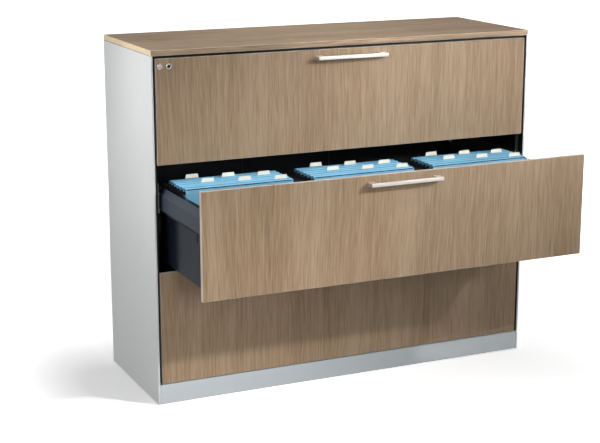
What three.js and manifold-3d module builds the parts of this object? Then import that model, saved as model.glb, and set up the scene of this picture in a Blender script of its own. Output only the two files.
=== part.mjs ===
// A lateral filing cabinet with three drawers on telescopic runners.
// Millimetres. +X is to the viewer's right, +Y runs to the back, +Z is up.
// Pieces are laid out with the closed fronts in the plane y = 0, the middle of the width at x = 0 and the
// floor at z = 0. The whole is then shifted so that the origin lies under the middle of the outline.

import * as THREE from "three";
import { mergeVertices } from "three/addons/utils/BufferGeometryUtils.js";
import Module from "manifold-3d";

const wasm = await Module();
wasm.setup();

// Outline of the cabinet
const WIDTH = 1200;
const DEPTH = 420;
const PLINTH_HEIGHT = 58;
const PLINTH_GAP = 3;
const LOW_FRONT_HEIGHT = 326;
const FRONT_HEIGHT = 293;
const FRONT_GAP = 7;
const FRONT_THICKNESS = 16;
const FRONT_SIDE_INSET = 12.5;
const BOARD_THICKNESS = 16;
const FLOOR_GAP = 1;

// How much of its depth the middle drawer keeps inside the cabinet where it stands open
const REST_INSIDE = 90;

// Clearances: between pieces that are fixed to each other, and between pieces that slide
const SEAT = 0.3;
const RUNNING = 0.5;

// Carcass sheet metal
const CARCASS_SHEET = 1.2;
const FRONT_RETURN = 5.5;
const HEM_PAST_FRONT = 2;
const HEM_CLEARANCE = 1;
const REAR_RETURN = 20;
const TOP_FLANGE = 12;
const RIB_COUNT = 4;
const RIB_WIDTH = 30;
const RIB_DEPTH = 4;
const RIB_END_MARGIN = 100;
const BASE_EDGE = 6;
const BASE_STEP_DEPTH = 8;
const BASE_STEP_RISE = 14;

// Levelling feet
const FOOT_RADIUS = 18;
const FOOT_PAD = 8;
const FOOT_CHAMFER = 2;
const FOOT_COLLAR_RADIUS = 8;
const FOOT_STEM_RADIUS = 5;
const FOOT_HEADROOM = 12;
const FOOT_GAP = 10;
const FOOT_INSET = 60;

// Uprights that carry the runners
const UPRIGHT_SHEET = 1.5;
const UPRIGHT_REACH = 18;
const UPRIGHT_DEPTH = 42;
const FRONT_UPRIGHT_GAP = 1.8;
const REAR_UPRIGHT_GAP = 20;

// Drawer trays, measured from the front that covers them
const TRAY_SHEET = 1.2;
const TRAY_DROP = 62;
const TRAY_RISE = 16;
const TRAY_REAR_GAP = 35;
const LEDGE_WIDTH = 12;
const LEDGE_LIP = 10;
const BAY_COUNT = 3;
const DIVIDER_WIDTH = 51;
const DIVIDER_HEIGHT = 40;

// Runners: a fixed member, a middle member and the bevelled band on the tray
const RAIL_SHEET = 2;
const RAIL_SPACE = 5;
const BAND_HEIGHT = 61;
const BEVEL_DROP = 20;
const WEB_RISE = 15;
const ARM_DROP = 7;
const MID_LIFT = 1;
const WEB_FRONT_GAP = 2;
const ARM_FRONT_GAP = 4;
const RAIL_END_GAP = 24;
const BAND_END_SHORT = 44;

// Bow handles
const HANDLE_LENGTH = 222;
const HANDLE_HEIGHT = 10;
const HANDLE_REACH = 28;
const HANDLE_BAR = 8;
const HANDLE_POST = 20;
const HANDLE_OUTER_RADIUS = 3;
const HANDLE_INNER_RADIUS = 4;
const HANDLE_DROP = 22;

// Cylinder lock and cover cap in the top front
const LOCK_SPACING = 25.5;
const LOCK_DROP = 21.5;
const ROSETTE_RADIUS = 8.5;
const ROSETTE_PROUD = 4;
const ROSETTE_CHAMFER = 1;
const BARREL_RADIUS = 7;
const NUT_RADIUS = 11;
const NUT_THICKNESS = 5;
const CORE_RADIUS = 4.5;
const CORE_PROUD = 0.4;
const KEYWAY_WIDTH = 1.6;
const KEYWAY_HEIGHT = 6;
const KEYWAY_DEPTH = 12;
const TANG_SIDE = 5;
const TANG_LENGTH = 5;
const CAM_THICKNESS = 2;
const CAM_LENGTH = 24;
const CAM_WIDTH = 8;
const CAM_HUB_RADIUS = 7;
const CAP_EDGE = 12.5;
const CAP_RADIUS = 8;
const CAP_PROUD = 1.6;
const CAP_CHAMFER = 0.6;
const CAP_STEM_RADIUS = 4;
const CAP_STEM_LENGTH = 10;

// Locking bar in the left front upright
const BAR_GAP = 2.5;
const BAR_WIDTH = 16;
const BAR_THICKNESS = 2;
const BAR_STROKE = 12;
const BAR_END = 8;
const DOG_WIDTH = 8;
const DOG_HEIGHT = 8;
const DOG_DROP = 1.5;
const LUG_HEIGHT = 4;
const LUG_REACH = 3;
const SLOT_PLAY = 1;

// Hanging files in the middle drawer
const FOLDER_COUNT = 6;
const FOLDER_PITCH = 22.8;
const FOLDER_GROOVE = 3;
const FOLDER_RISE = 20;
const FOLDER_FLOOR_GAP = 19;
const FOLDER_SIDE_GAP = 7;
const FOLDER_RIDGE = 14;
const FILES_REAR_GAP = 18;
const HOOK_GAP = 3;
const HOOK_HEIGHT = 10;
const HOOK_THICKNESS = 2.4;
const TAB_WIDTH = 40;
const TAB_TOP_WIDTH = 34;
const TAB_HEIGHT = 12;
const TAB_THICKNESS = 1.2;
const TAB_SINK = 1;
const TAB_SPREAD = 104;
const TABS_ACROSS = 3;

// Facets of round pieces and fillets, and how far cutting tools and joined blocks reach into each other
const ROUND_SEGMENTS = 24;
const FILLET_SEGMENTS = 4;
const MARGIN = 5;

const FINISHES = {
  wood: new THREE.MeshStandardMaterial({ color: 0xa58c71, roughness: 0.55, metalness: 0 }),
  lightPaint: new THREE.MeshStandardMaterial({ color: 0xc8ced1, roughness: 0.45, metalness: 0.1 }),
  darkPaint: new THREE.MeshStandardMaterial({ color: 0x3b404c, roughness: 0.5, metalness: 0.1 }),
  runnerSteel: new THREE.MeshStandardMaterial({ color: 0x9a9c9d, roughness: 0.35, metalness: 0.9 }),
  nickel: new THREE.MeshStandardMaterial({ color: 0xd6d3ce, roughness: 0.28, metalness: 0.95 }),
  plastic: new THREE.MeshStandardMaterial({ color: 0x1d1d1f, roughness: 0.6, metalness: 0 }),
  card: new THREE.MeshStandardMaterial({ color: 0x74b2e6, roughness: 0.75, metalness: 0 }),
};

const SIDES = [
  { name: "left", sign: -1 },
  { name: "right", sign: 1 },
];

// Places that follow from the sizes above. A reach is a distance inwards from the nearer flank.
const HALF_WIDTH = WIDTH / 2;
const REST_PULL = DEPTH - REST_INSIDE;
const FRONT_HALF_WIDTH = HALF_WIDTH - FRONT_SIDE_INSET;
const SKIN_REACH = CARCASS_SHEET + SEAT;
const BACK_FACE = DEPTH - CARCASS_SHEET - SEAT;
const INNER_BACK = BACK_FACE - CARCASS_SHEET - SEAT;
const HEM_DEPTH = FRONT_THICKNESS + HEM_PAST_FRONT;
const INNER_FRONT = HEM_DEPTH + HEM_CLEARANCE;
const UPRIGHT_FRONT = INNER_FRONT + CARCASS_SHEET + FRONT_UPRIGHT_GAP;
const FOOT_SETBACK = BASE_STEP_DEPTH + FOOT_GAP + FOOT_RADIUS;
const BASE_RETURN = FOOT_SETBACK + FOOT_RADIUS + BASE_EDGE;

const LEVELS = [];
let levelBottom = PLINTH_HEIGHT + PLINTH_GAP;
for (const [name, height, pull] of [
  ["bottom", LOW_FRONT_HEIGHT, 0],
  ["middle", FRONT_HEIGHT, REST_PULL],
  ["top", FRONT_HEIGHT, 0],
]) {
  const top = levelBottom + height;
  const trayTop = top - TRAY_DROP;
  LEVELS.push({
    name,
    pull,
    bottom: levelBottom,
    top,
    trayBottom: levelBottom + TRAY_RISE,
    trayTop,
    bandBottom: trayTop - BAND_HEIGHT,
    midTop: trayTop - BEVEL_DROP - RUNNING,
  });
  levelBottom = top + FRONT_GAP;
}
const TOP_LEVEL = LEVELS[LEVELS.length - 1];
const BOARD_BOTTOM = levelBottom;
const CARCASS_TOP = BOARD_BOTTOM - SEAT;
const BASE_TOP = PLINTH_HEIGHT + SEAT + CARCASS_SHEET;

const WEB_REACH = UPRIGHT_REACH + SEAT;
const BAND_REACH = WEB_REACH + RAIL_SHEET + RAIL_SPACE;
const MID_REACH = BAND_REACH + RAIL_SHEET + RUNNING;
const UPSTAND_REACH = MID_REACH + RAIL_SHEET + RUNNING;
const MID_END_REACH = UPSTAND_REACH + 2 * RAIL_SHEET + RUNNING;
const BAND_END_REACH = MID_END_REACH + RUNNING + RAIL_SHEET;
const WEB_START = FRONT_THICKNESS + WEB_FRONT_GAP;
const RAIL_END = DEPTH - RAIL_END_GAP;
const TRAY_HALF_WIDTH = HALF_WIDTH - BAND_END_REACH - SEAT;
const TRAY_FRONT = FRONT_THICKNESS + SEAT;
const TRAY_BACK = DEPTH - TRAY_REAR_GAP;

const BAYS_WIDTH = 2 * (TRAY_HALF_WIDTH - LEDGE_WIDTH);
const BAY_WIDTH = (BAYS_WIDTH - (BAY_COUNT - 1) * DIVIDER_WIDTH) / BAY_COUNT;
const BAY_PITCH = BAY_WIDTH + DIVIDER_WIDTH;

const BAR_FRONT = UPRIGHT_FRONT + UPRIGHT_SHEET + BAR_GAP;
const BAR_MIDDLE = BAR_FRONT + BAR_WIDTH / 2;
const ARM_START = BAR_FRONT + BAR_WIDTH + ARM_FRONT_GAP;

const CAP_X = CAP_EDGE - FRONT_HALF_WIDTH;
const LOCK_X = CAP_X + LOCK_SPACING;
const LOCK_Z = TOP_LEVEL.top - LOCK_DROP;
const CAM_FRONT = BAR_MIDDLE - CAM_THICKNESS / 2;
const CORE_END = CAM_FRONT - SEAT;
const BARREL_END = CORE_END - SEAT;
const BORE_RADIUS = CORE_RADIUS + SEAT;
const BARREL_HOLE_RADIUS = BARREL_RADIUS + SEAT;
const STEM_HOLE_RADIUS = CAP_STEM_RADIUS + SEAT;

const BAR_END_REACH = UPRIGHT_REACH - UPRIGHT_SHEET - SEAT;
const BAR_REACH = BAR_END_REACH - BAR_THICKNESS;
const DOG_FRONT = BAR_MIDDLE - DOG_WIDTH / 2;
const DOG_END_REACH = BAND_REACH + RAIL_SHEET - SEAT;
const LUG_BOTTOM = LOCK_Z + CAM_WIDTH / 2 + RUNNING - BAR_STROKE;
const LUG_END_REACH = HALF_WIDTH + LOCK_X - CAM_LENGTH + LUG_REACH;

// A closed geometry as a solid that can be joined to others and cut.
function solidOf(geometry) {
  const plain = geometry.clone();
  plain.deleteAttribute("normal");
  plain.deleteAttribute("uv");
  const merged = mergeVertices(plain);
  const corners = merged.index.array;
  const kept = [];
  for (let i = 0; i < corners.length; i += 3) {
    const [a, b, c] = corners.slice(i, i + 3);
    if (a !== b && b !== c && c !== a) kept.push(a, b, c);
  }
  return new wasm.Manifold(
    new wasm.Mesh({
      numProp: 3,
      vertProperties: new Float32Array(merged.getAttribute("position").array),
      triVerts: new Uint32Array(kept),
    }),
  );
}

function geometryOf(solid) {
  const mesh = solid.getMesh();
  const geometry = new THREE.BufferGeometry();
  geometry.setAttribute("position", new THREE.BufferAttribute(mesh.vertProperties, mesh.numProp));
  geometry.setIndex(new THREE.BufferAttribute(mesh.triVerts, 1));
  geometry.computeVertexNormals();
  return geometry;
}

function joined(geometries) {
  return geometryOf(geometries.map(solidOf).reduce((whole, part) => whole.add(part)));
}

function cutFrom(geometry, tools) {
  return geometryOf(tools.map(solidOf).reduce((rest, tool) => rest.subtract(tool), solidOf(geometry)));
}

// A block between two opposite corners.
function block([x0, y0, z0], [x1, y1, z1]) {
  const geometry = new THREE.BoxGeometry(Math.abs(x1 - x0), Math.abs(y1 - y0), Math.abs(z1 - z0));
  return geometry.translate((x0 + x1) / 2, (y0 + y1) / 2, (z0 + z1) / 2);
}

// The outline of a bent sheet. The path runs along one face, and the sheet lies to its left, or to its
// right where the thickness is negative.
function bentSheet(path, thickness) {
  const points = path.map(([u, v]) => new THREE.Vector2(u, v));
  const normals = points.slice(1).map((point, i) => {
    const along = point.clone().sub(points[i]).normalize();
    return new THREE.Vector2(-along.y, along.x);
  });
  const inner = points.map((point, i) => {
    const before = normals[Math.max(i - 1, 0)];
    const after = normals[Math.min(i, normals.length - 1)];
    const mitre = before.clone().add(after).divideScalar(1 + before.dot(after));
    return point.clone().addScaledVector(mitre, thickness);
  });
  return [...points, ...inner.reverse()];
}

const X_AXIS = new THREE.Vector3(1, 0, 0);
const Y_AXIS = new THREE.Vector3(0, 1, 0);
const Z_AXIS = new THREE.Vector3(0, 0, 1);

function extruded(shape, length) {
  return new THREE.ExtrudeGeometry(shape, {
    depth: length,
    bevelEnabled: false,
    curveSegments: FILLET_SEGMENTS,
  });
}

// Sections given as (x, y), (x, z) and (y, z) outlines, drawn out between two places along the third axis.
function drawnAlongZ(shape, from, to) {
  return extruded(shape, to - from).translate(0, 0, from);
}

function drawnAlongY(shape, from, to) {
  const turn = new THREE.Matrix4().makeBasis(X_AXIS, Z_AXIS, Y_AXIS.clone().negate());
  return extruded(shape, to - from).applyMatrix4(turn).translate(0, to, 0);
}

function drawnAlongX(shape, from, to) {
  const turn = new THREE.Matrix4().makeBasis(Y_AXIS, Z_AXIS, X_AXIS);
  return extruded(shape, to - from).applyMatrix4(turn).translate(from, 0, 0);
}

// An outline given by reaches from the flank, placed at one flank.
function atFlank(outline, sign) {
  return new THREE.Shape(outline.map(({ x, y }) => new THREE.Vector2(sign * (HALF_WIDTH - x), y)));
}

// A block given by reaches from one flank.
function flankBlock(sign, [reach0, y0, z0], [reach1, y1, z1]) {
  return block([sign * (HALF_WIDTH - reach0), y0, z0], [sign * (HALF_WIDTH - reach1), y1, z1]);
}

// A turned piece on the axis of the lock or the cap, from its profile of [radius, depth] points.
function turned(profile, x, z) {
  const points = profile.map(([radius, depth]) => new THREE.Vector2(radius, depth));
  return new THREE.LatheGeometry(points, ROUND_SEGMENTS).translate(x, 0, z);
}

// A round bar along the depth, for bores.
function boreTool(radius, from, to, x, z) {
  const tool = new THREE.CylinderGeometry(radius, radius, to - from, ROUND_SEGMENTS);
  return tool.translate(x, (from + to) / 2, z);
}

function piece(name, geometry, finish) {
  const mesh = new THREE.Mesh(geometry, finish);
  mesh.name = name;
  return mesh;
}

function sidePanel(sign) {
  const path = [
    [FRONT_RETURN, HEM_DEPTH],
    [FRONT_RETURN, 0],
    [0, 0],
    [0, BACK_FACE],
    [REAR_RETURN, BACK_FACE],
  ];
  return drawnAlongZ(atFlank(bentSheet(path, -CARCASS_SHEET), sign), FLOOR_GAP, CARCASS_TOP);
}

function backPanel() {
  const sheetFront = DEPTH - CARCASS_SHEET;
  const ribBottom = FLOOR_GAP + RIB_END_MARGIN;
  const ribTop = CARCASS_TOP - RIB_END_MARGIN;
  const ribFront = sheetFront - RIB_DEPTH;
  const solids = [block([-HALF_WIDTH, sheetFront, FLOOR_GAP], [HALF_WIDTH, DEPTH, CARCASS_TOP])];
  const hollows = [];
  for (let i = 0; i < RIB_COUNT; i++) {
    const x = (WIDTH * (i + 0.5)) / RIB_COUNT - HALF_WIDTH;
    const half = RIB_WIDTH / 2;
    const inside = half - CARCASS_SHEET;
    solids.push(block([x - half, ribFront, ribBottom], [x + half, DEPTH - CARCASS_SHEET / 2, ribTop]));
    hollows.push(
      block(
        [x - inside, ribFront + CARCASS_SHEET, ribBottom + CARCASS_SHEET],
        [x + inside, DEPTH + MARGIN, ribTop - CARCASS_SHEET],
      ),
    );
  }
  return cutFrom(joined(solids), hollows);
}

function topPanel() {
  const path = [
    [INNER_FRONT, CARCASS_TOP - TOP_FLANGE],
    [INNER_FRONT, CARCASS_TOP],
    [INNER_BACK, CARCASS_TOP],
    [INNER_BACK, CARCASS_TOP - TOP_FLANGE],
  ];
  const reach = HALF_WIDTH - SKIN_REACH;
  return drawnAlongX(new THREE.Shape(bentSheet(path, -CARCASS_SHEET)), -reach, reach);
}

// The flat base sheet, which lies on the flanges of the base channels.
function basePanel() {
  const half = HALF_WIDTH - SKIN_REACH;
  return block([-half, INNER_FRONT, BASE_TOP - CARCASS_SHEET], [half, INNER_BACK, BASE_TOP]);
}

// A base channel along the width, with a stepped foot flange. The face is its outer plane, and inwards is
// the way from there into the cabinet, 1 towards the back or -1 towards the front.
function baseChannel(face, inwards, halfLength) {
  const at = (distance) => face + inwards * distance;
  const path = [
    [at(BASE_RETURN), PLINTH_HEIGHT],
    [face, PLINTH_HEIGHT],
    [face, FLOOR_GAP],
    [at(BASE_STEP_DEPTH), FLOOR_GAP],
    [at(BASE_STEP_DEPTH), FLOOR_GAP + BASE_STEP_RISE],
    [at(BASE_RETURN), FLOOR_GAP + BASE_STEP_RISE],
  ];
  const outline = bentSheet(path, inwards * CARCASS_SHEET);
  const channel = drawnAlongX(new THREE.Shape(outline), -halfLength, halfLength);
  const holes = SIDES.map(({ sign }) => {
    const tool = new THREE.CylinderGeometry(
      FOOT_STEM_RADIUS + SEAT,
      FOOT_STEM_RADIUS + SEAT,
      2 * MARGIN,
      ROUND_SEGMENTS,
    );
    tool.rotateX(Math.PI / 2);
    return tool.translate(footX(sign), at(FOOT_SETBACK), FLOOR_GAP + BASE_STEP_RISE);
  });
  return cutFrom(channel, holes);
}

function footX(sign) {
  return sign * (HALF_WIDTH - FOOT_INSET);
}

function levellingFoot(sign, y) {
  const collarTop = FLOOR_GAP + BASE_STEP_RISE - SEAT;
  const stemTop = PLINTH_HEIGHT - FOOT_HEADROOM;
  const profile = [
    [0, 0],
    [FOOT_RADIUS - FOOT_CHAMFER, 0],
    [FOOT_RADIUS, FOOT_CHAMFER],
    [FOOT_RADIUS, FOOT_PAD],
    [FOOT_COLLAR_RADIUS, FOOT_PAD],
    [FOOT_COLLAR_RADIUS, collarTop],
    [FOOT_STEM_RADIUS, collarTop],
    [FOOT_STEM_RADIUS, stemTop],
    [0, stemTop],
  ];
  const points = profile.map(([radius, height]) => new THREE.Vector2(radius, height));
  const geometry = new THREE.LatheGeometry(points, ROUND_SEGMENTS);
  return geometry.rotateX(Math.PI / 2).translate(footX(sign), y, 0);
}

function upright(sign, front) {
  const back = front + UPRIGHT_DEPTH;
  const path = [
    [SKIN_REACH, front],
    [UPRIGHT_REACH, front],
    [UPRIGHT_REACH, back],
    [SKIN_REACH, back],
  ];
  const bottom = BASE_TOP + SEAT;
  const top = CARCASS_TOP - CARCASS_SHEET - SEAT;
  return drawnAlongZ(atFlank(bentSheet(path, UPRIGHT_SHEET), sign), bottom, top);
}

function dogTop(level) {
  return level.bandBottom - DOG_DROP;
}

// The windows that the locking bar's dogs and lug reach through, as tools for cutting.
function barWindows(fromReach, toReach) {
  const window = (front, bottom, height) =>
    flankBlock(
      -1,
      [fromReach, front - SLOT_PLAY, bottom - SLOT_PLAY],
      [toReach, front + DOG_WIDTH + SLOT_PLAY, bottom + height + BAR_STROKE + SLOT_PLAY],
    );
  const windows = LEVELS.map((level) => window(DOG_FRONT, dogTop(level) - DOG_HEIGHT, DOG_HEIGHT));
  windows.push(window(DOG_FRONT, LUG_BOTTOM, LUG_HEIGHT));
  return windows;
}

function lockingBar() {
  const bottom = dogTop(LEVELS[0]) - DOG_HEIGHT - BAR_END;
  const top = LUG_BOTTOM + LUG_HEIGHT + BAR_END;
  const blocks = [
    flankBlock(-1, [BAR_REACH, BAR_FRONT, bottom], [BAR_END_REACH, BAR_FRONT + BAR_WIDTH, top]),
  ];
  for (const level of LEVELS) {
    blocks.push(
      flankBlock(
        -1,
        [BAR_REACH, DOG_FRONT, dogTop(level) - DOG_HEIGHT],
        [DOG_END_REACH, DOG_FRONT + DOG_WIDTH, dogTop(level)],
      ),
    );
  }
  blocks.push(
    flankBlock(
      -1,
      [BAR_REACH, DOG_FRONT, LUG_BOTTOM],
      [LUG_END_REACH, DOG_FRONT + DOG_WIDTH, LUG_BOTTOM + LUG_HEIGHT],
    ),
  );
  return joined(blocks);
}

// The cabinet member: a web on the uprights, an arm under the band and an upstand inside the middle member.
function fixedRail(sign, level) {
  const armBottom = level.bandBottom - ARM_DROP - RAIL_SHEET;
  const path = [
    [WEB_REACH, level.trayTop + WEB_RISE],
    [WEB_REACH, armBottom],
    [UPSTAND_REACH + RAIL_SHEET, armBottom],
    [UPSTAND_REACH + RAIL_SHEET, level.midTop - RAIL_SHEET - RUNNING],
  ];
  const rail = drawnAlongY(atFlank(bentSheet(path, RAIL_SHEET), sign), WEB_START, RAIL_END);
  const openFront = flankBlock(
    sign,
    [WEB_REACH + RAIL_SHEET, WEB_START - MARGIN, armBottom - MARGIN],
    [BAND_END_REACH, ARM_START, level.trayTop + WEB_RISE],
  );
  const dogWindow = flankBlock(
    sign,
    [WEB_REACH - SEAT, DOG_FRONT - SLOT_PLAY, dogTop(level) - DOG_HEIGHT - SLOT_PLAY],
    [BAND_REACH, DOG_FRONT + DOG_WIDTH + SLOT_PLAY, dogTop(level) + BAR_STROKE + SLOT_PLAY],
  );
  return cutFrom(rail, [openFront, dogWindow]);
}

function midRail(sign, level) {
  const bottom = level.bandBottom + MID_LIFT;
  const path = [
    [MID_REACH, bottom],
    [MID_REACH, level.midTop],
    [MID_END_REACH, level.midTop],
    [MID_END_REACH, bottom],
  ];
  return drawnAlongY(atFlank(bentSheet(path, -RAIL_SHEET), sign), ARM_START, RAIL_END);
}

// The drawer member, an inverted channel with a bevelled shoulder and a notch for a locking dog.
function drawerRail(sign, level) {
  const path = [
    [BAND_REACH, level.bandBottom],
    [BAND_REACH, level.trayTop - BEVEL_DROP],
    [BAND_END_REACH, level.trayTop],
    [BAND_END_REACH, level.bandBottom],
  ];
  const outline = atFlank(bentSheet(path, -RAIL_SHEET), sign);
  const rail = drawnAlongY(outline, TRAY_FRONT, RAIL_END - BAND_END_SHORT);
  const notchTop = dogTop(level) + BAR_STROKE + SLOT_PLAY;
  const notch = flankBlock(
    sign,
    [BAND_REACH - MARGIN, DOG_FRONT - SLOT_PLAY, level.bandBottom - MARGIN],
    [BAND_REACH + RAIL_SHEET + SEAT, DOG_FRONT + DOG_WIDTH + SLOT_PLAY, notchTop],
  );
  return cutFrom(rail, [notch]);
}

function tray(level) {
  const half = TRAY_HALF_WIDTH;
  const path = [
    [LEDGE_WIDTH - half, level.trayTop - LEDGE_LIP],
    [LEDGE_WIDTH - half, level.trayTop],
    [-half, level.trayTop],
    [-half, level.trayBottom],
    [half, level.trayBottom],
    [half, level.trayTop],
    [half - LEDGE_WIDTH, level.trayTop],
    [half - LEDGE_WIDTH, level.trayTop - LEDGE_LIP],
  ];
  const trough = drawnAlongY(new THREE.Shape(bentSheet(path, TRAY_SHEET)), TRAY_FRONT, TRAY_BACK);
  const wall = (y) => block([-half, y, level.trayBottom], [half, y + TRAY_SHEET, level.trayTop]);
  return joined([trough, wall(TRAY_FRONT), wall(TRAY_BACK - TRAY_SHEET)]);
}

function divider(centre, level) {
  const half = DIVIDER_WIDTH / 2;
  const path = [
    [centre - half, level.trayTop - DIVIDER_HEIGHT],
    [centre - half, level.trayTop],
    [centre + half, level.trayTop],
    [centre + half, level.trayTop - DIVIDER_HEIGHT],
  ];
  const outline = new THREE.Shape(bentSheet(path, -TRAY_SHEET));
  return drawnAlongY(outline, TRAY_FRONT + TRAY_SHEET + SEAT, TRAY_BACK - TRAY_SHEET - SEAT);
}

function handle(level) {
  const half = HANDLE_LENGTH / 2;
  const outer = HANDLE_OUTER_RADIUS;
  const inner = HANDLE_INNER_RADIUS;
  const barBack = HANDLE_BAR - HANDLE_REACH;
  const gap = half - HANDLE_POST;
  const shape = new THREE.Shape();
  shape.moveTo(-half, -SEAT);
  shape.lineTo(-half, outer - HANDLE_REACH);
  shape.absarc(outer - half, outer - HANDLE_REACH, outer, Math.PI, 1.5 * Math.PI, false);
  shape.absarc(half - outer, outer - HANDLE_REACH, outer, 1.5 * Math.PI, 2 * Math.PI, false);
  shape.lineTo(half, -SEAT);
  shape.lineTo(gap, -SEAT);
  shape.absarc(gap - inner, barBack + inner, inner, 0, -0.5 * Math.PI, true);
  shape.absarc(inner - gap, barBack + inner, inner, 1.5 * Math.PI, Math.PI, true);
  shape.lineTo(-gap, -SEAT);
  const middle = level.top - HANDLE_DROP;
  return drawnAlongZ(shape, middle - HANDLE_HEIGHT / 2, middle + HANDLE_HEIGHT / 2);
}

function drawerFront(level) {
  return block([-FRONT_HALF_WIDTH, 0, level.bottom], [FRONT_HALF_WIDTH, FRONT_THICKNESS, level.top]);
}

function lockFront() {
  const through = FRONT_THICKNESS + MARGIN;
  return cutFrom(drawerFront(TOP_LEVEL), [
    boreTool(BARREL_HOLE_RADIUS, -MARGIN, through, LOCK_X, LOCK_Z),
    boreTool(STEM_HOLE_RADIUS, -MARGIN, CAP_STEM_LENGTH + SEAT, CAP_X, LOCK_Z),
  ]);
}

function lockBody() {
  const face = -SEAT - ROSETTE_PROUD;
  const profile = [
    [BORE_RADIUS, face],
    [ROSETTE_RADIUS - ROSETTE_CHAMFER, face],
    [ROSETTE_RADIUS, face + ROSETTE_CHAMFER],
    [ROSETTE_RADIUS, -SEAT],
    [BARREL_RADIUS, -SEAT],
    [BARREL_RADIUS, BARREL_END],
    [BORE_RADIUS, BARREL_END],
    [BORE_RADIUS, face],
  ];
  return turned(profile, LOCK_X, LOCK_Z);
}

function lockNut() {
  const front = FRONT_THICKNESS + SEAT;
  const back = front + NUT_THICKNESS;
  const hexagon = new THREE.CylinderGeometry(NUT_RADIUS, NUT_RADIUS, NUT_THICKNESS, 6);
  hexagon.translate(LOCK_X, (front + back) / 2, LOCK_Z);
  const bore = boreTool(BARREL_HOLE_RADIUS, front - MARGIN, back + MARGIN, LOCK_X, LOCK_Z);
  return cutFrom(hexagon, [bore]);
}

function lockCore() {
  const face = -SEAT - ROSETTE_PROUD - CORE_PROUD;
  const plug = turned(
    [
      [0, face],
      [CORE_RADIUS, face],
      [CORE_RADIUS, CORE_END],
      [0, CORE_END],
    ],
    LOCK_X,
    LOCK_Z,
  );
  const side = TANG_SIDE / 2;
  const tang = block(
    [LOCK_X - side, CORE_END - MARGIN, LOCK_Z - side],
    [LOCK_X + side, CORE_END + TANG_LENGTH, LOCK_Z + side],
  );
  const keyway = block(
    [LOCK_X - KEYWAY_WIDTH / 2, face - MARGIN, LOCK_Z - KEYWAY_HEIGHT / 2],
    [LOCK_X + KEYWAY_WIDTH / 2, face + KEYWAY_DEPTH, LOCK_Z + KEYWAY_HEIGHT / 2],
  );
  return cutFrom(joined([plug, tang]), [keyway]);
}

function lockCam() {
  const half = CAM_WIDTH / 2;
  const flank = Math.asin(half / CAM_HUB_RADIUS);
  const outline = new THREE.Shape();
  outline.absarc(0, 0, CAM_HUB_RADIUS, flank - 0.5 * Math.PI, 1.5 * Math.PI - flank, false);
  outline.lineTo(-half, -CAM_LENGTH);
  outline.lineTo(half, -CAM_LENGTH);
  const side = TANG_SIDE / 2 + SEAT;
  const hole = new THREE.Path();
  hole.moveTo(-side, -side);
  hole.lineTo(-side, side);
  hole.lineTo(side, side);
  hole.lineTo(side, -side);
  outline.holes.push(hole);
  return drawnAlongY(outline, CAM_FRONT, CAM_FRONT + CAM_THICKNESS).translate(LOCK_X, 0, LOCK_Z);
}

function coverCap() {
  const face = -SEAT - CAP_PROUD;
  const profile = [
    [0, face],
    [CAP_RADIUS - CAP_CHAMFER, face],
    [CAP_RADIUS, face + CAP_CHAMFER],
    [CAP_RADIUS, -SEAT],
    [CAP_STEM_RADIUS, -SEAT],
    [CAP_STEM_RADIUS, CAP_STEM_LENGTH],
    [0, CAP_STEM_LENGTH],
  ];
  return turned(profile, CAP_X, LOCK_Z);
}

// One row of suspension files: folders side by side that touch below their ridges, their hook ends on the
// hanging rails and an index tab on each, stepping across from the back to the front.
function hangingFiles(centre, level) {
  const top = level.trayTop + FOLDER_RISE;
  const bottom = level.trayBottom + TRAY_SHEET + FOLDER_FLOOR_GAP;
  const back = TRAY_BACK - FILES_REAR_GAP;
  const front = back - FOLDER_COUNT * FOLDER_PITCH;
  const half = BAY_WIDTH / 2 - FOLDER_SIDE_GAP;
  const hookHalf = BAY_WIDTH / 2 + LEDGE_WIDTH - HOOK_GAP;
  const hookBottom = level.trayTop + SEAT;
  const shoulder = top - FOLDER_RIDGE;
  const solids = [block([centre - half, front, bottom], [centre + half, back, shoulder])];
  for (let i = 0; i < FOLDER_COUNT; i++) {
    const folderBack = back - i * FOLDER_PITCH;
    const folderFront = folderBack - FOLDER_PITCH + FOLDER_GROOVE;
    solids.push(
      block([centre - half, folderFront, shoulder - MARGIN], [centre + half, folderBack, top]),
    );
    for (const edge of [folderFront, folderBack - HOOK_THICKNESS]) {
      solids.push(
        block(
          [centre - hookHalf, edge, hookBottom],
          [centre + hookHalf, edge + HOOK_THICKNESS, hookBottom + HOOK_HEIGHT],
        ),
      );
    }
    const tabX = centre + ((i % TABS_ACROSS) - (TABS_ACROSS - 1) / 2) * TAB_SPREAD;
    solids.push(indexTab(tabX, folderBack - FOLDER_GROOVE, top));
  }
  return joined(solids);
}

function indexTab(x, back, bottom) {
  const shape = new THREE.Shape();
  shape.moveTo(x - TAB_WIDTH / 2, bottom - TAB_SINK);
  shape.lineTo(x + TAB_WIDTH / 2, bottom - TAB_SINK);
  shape.lineTo(x + TAB_TOP_WIDTH / 2, bottom + TAB_HEIGHT);
  shape.lineTo(x - TAB_TOP_WIDTH / 2, bottom + TAB_HEIGHT);
  return drawnAlongY(shape, back - TAB_THICKNESS, back);
}

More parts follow.
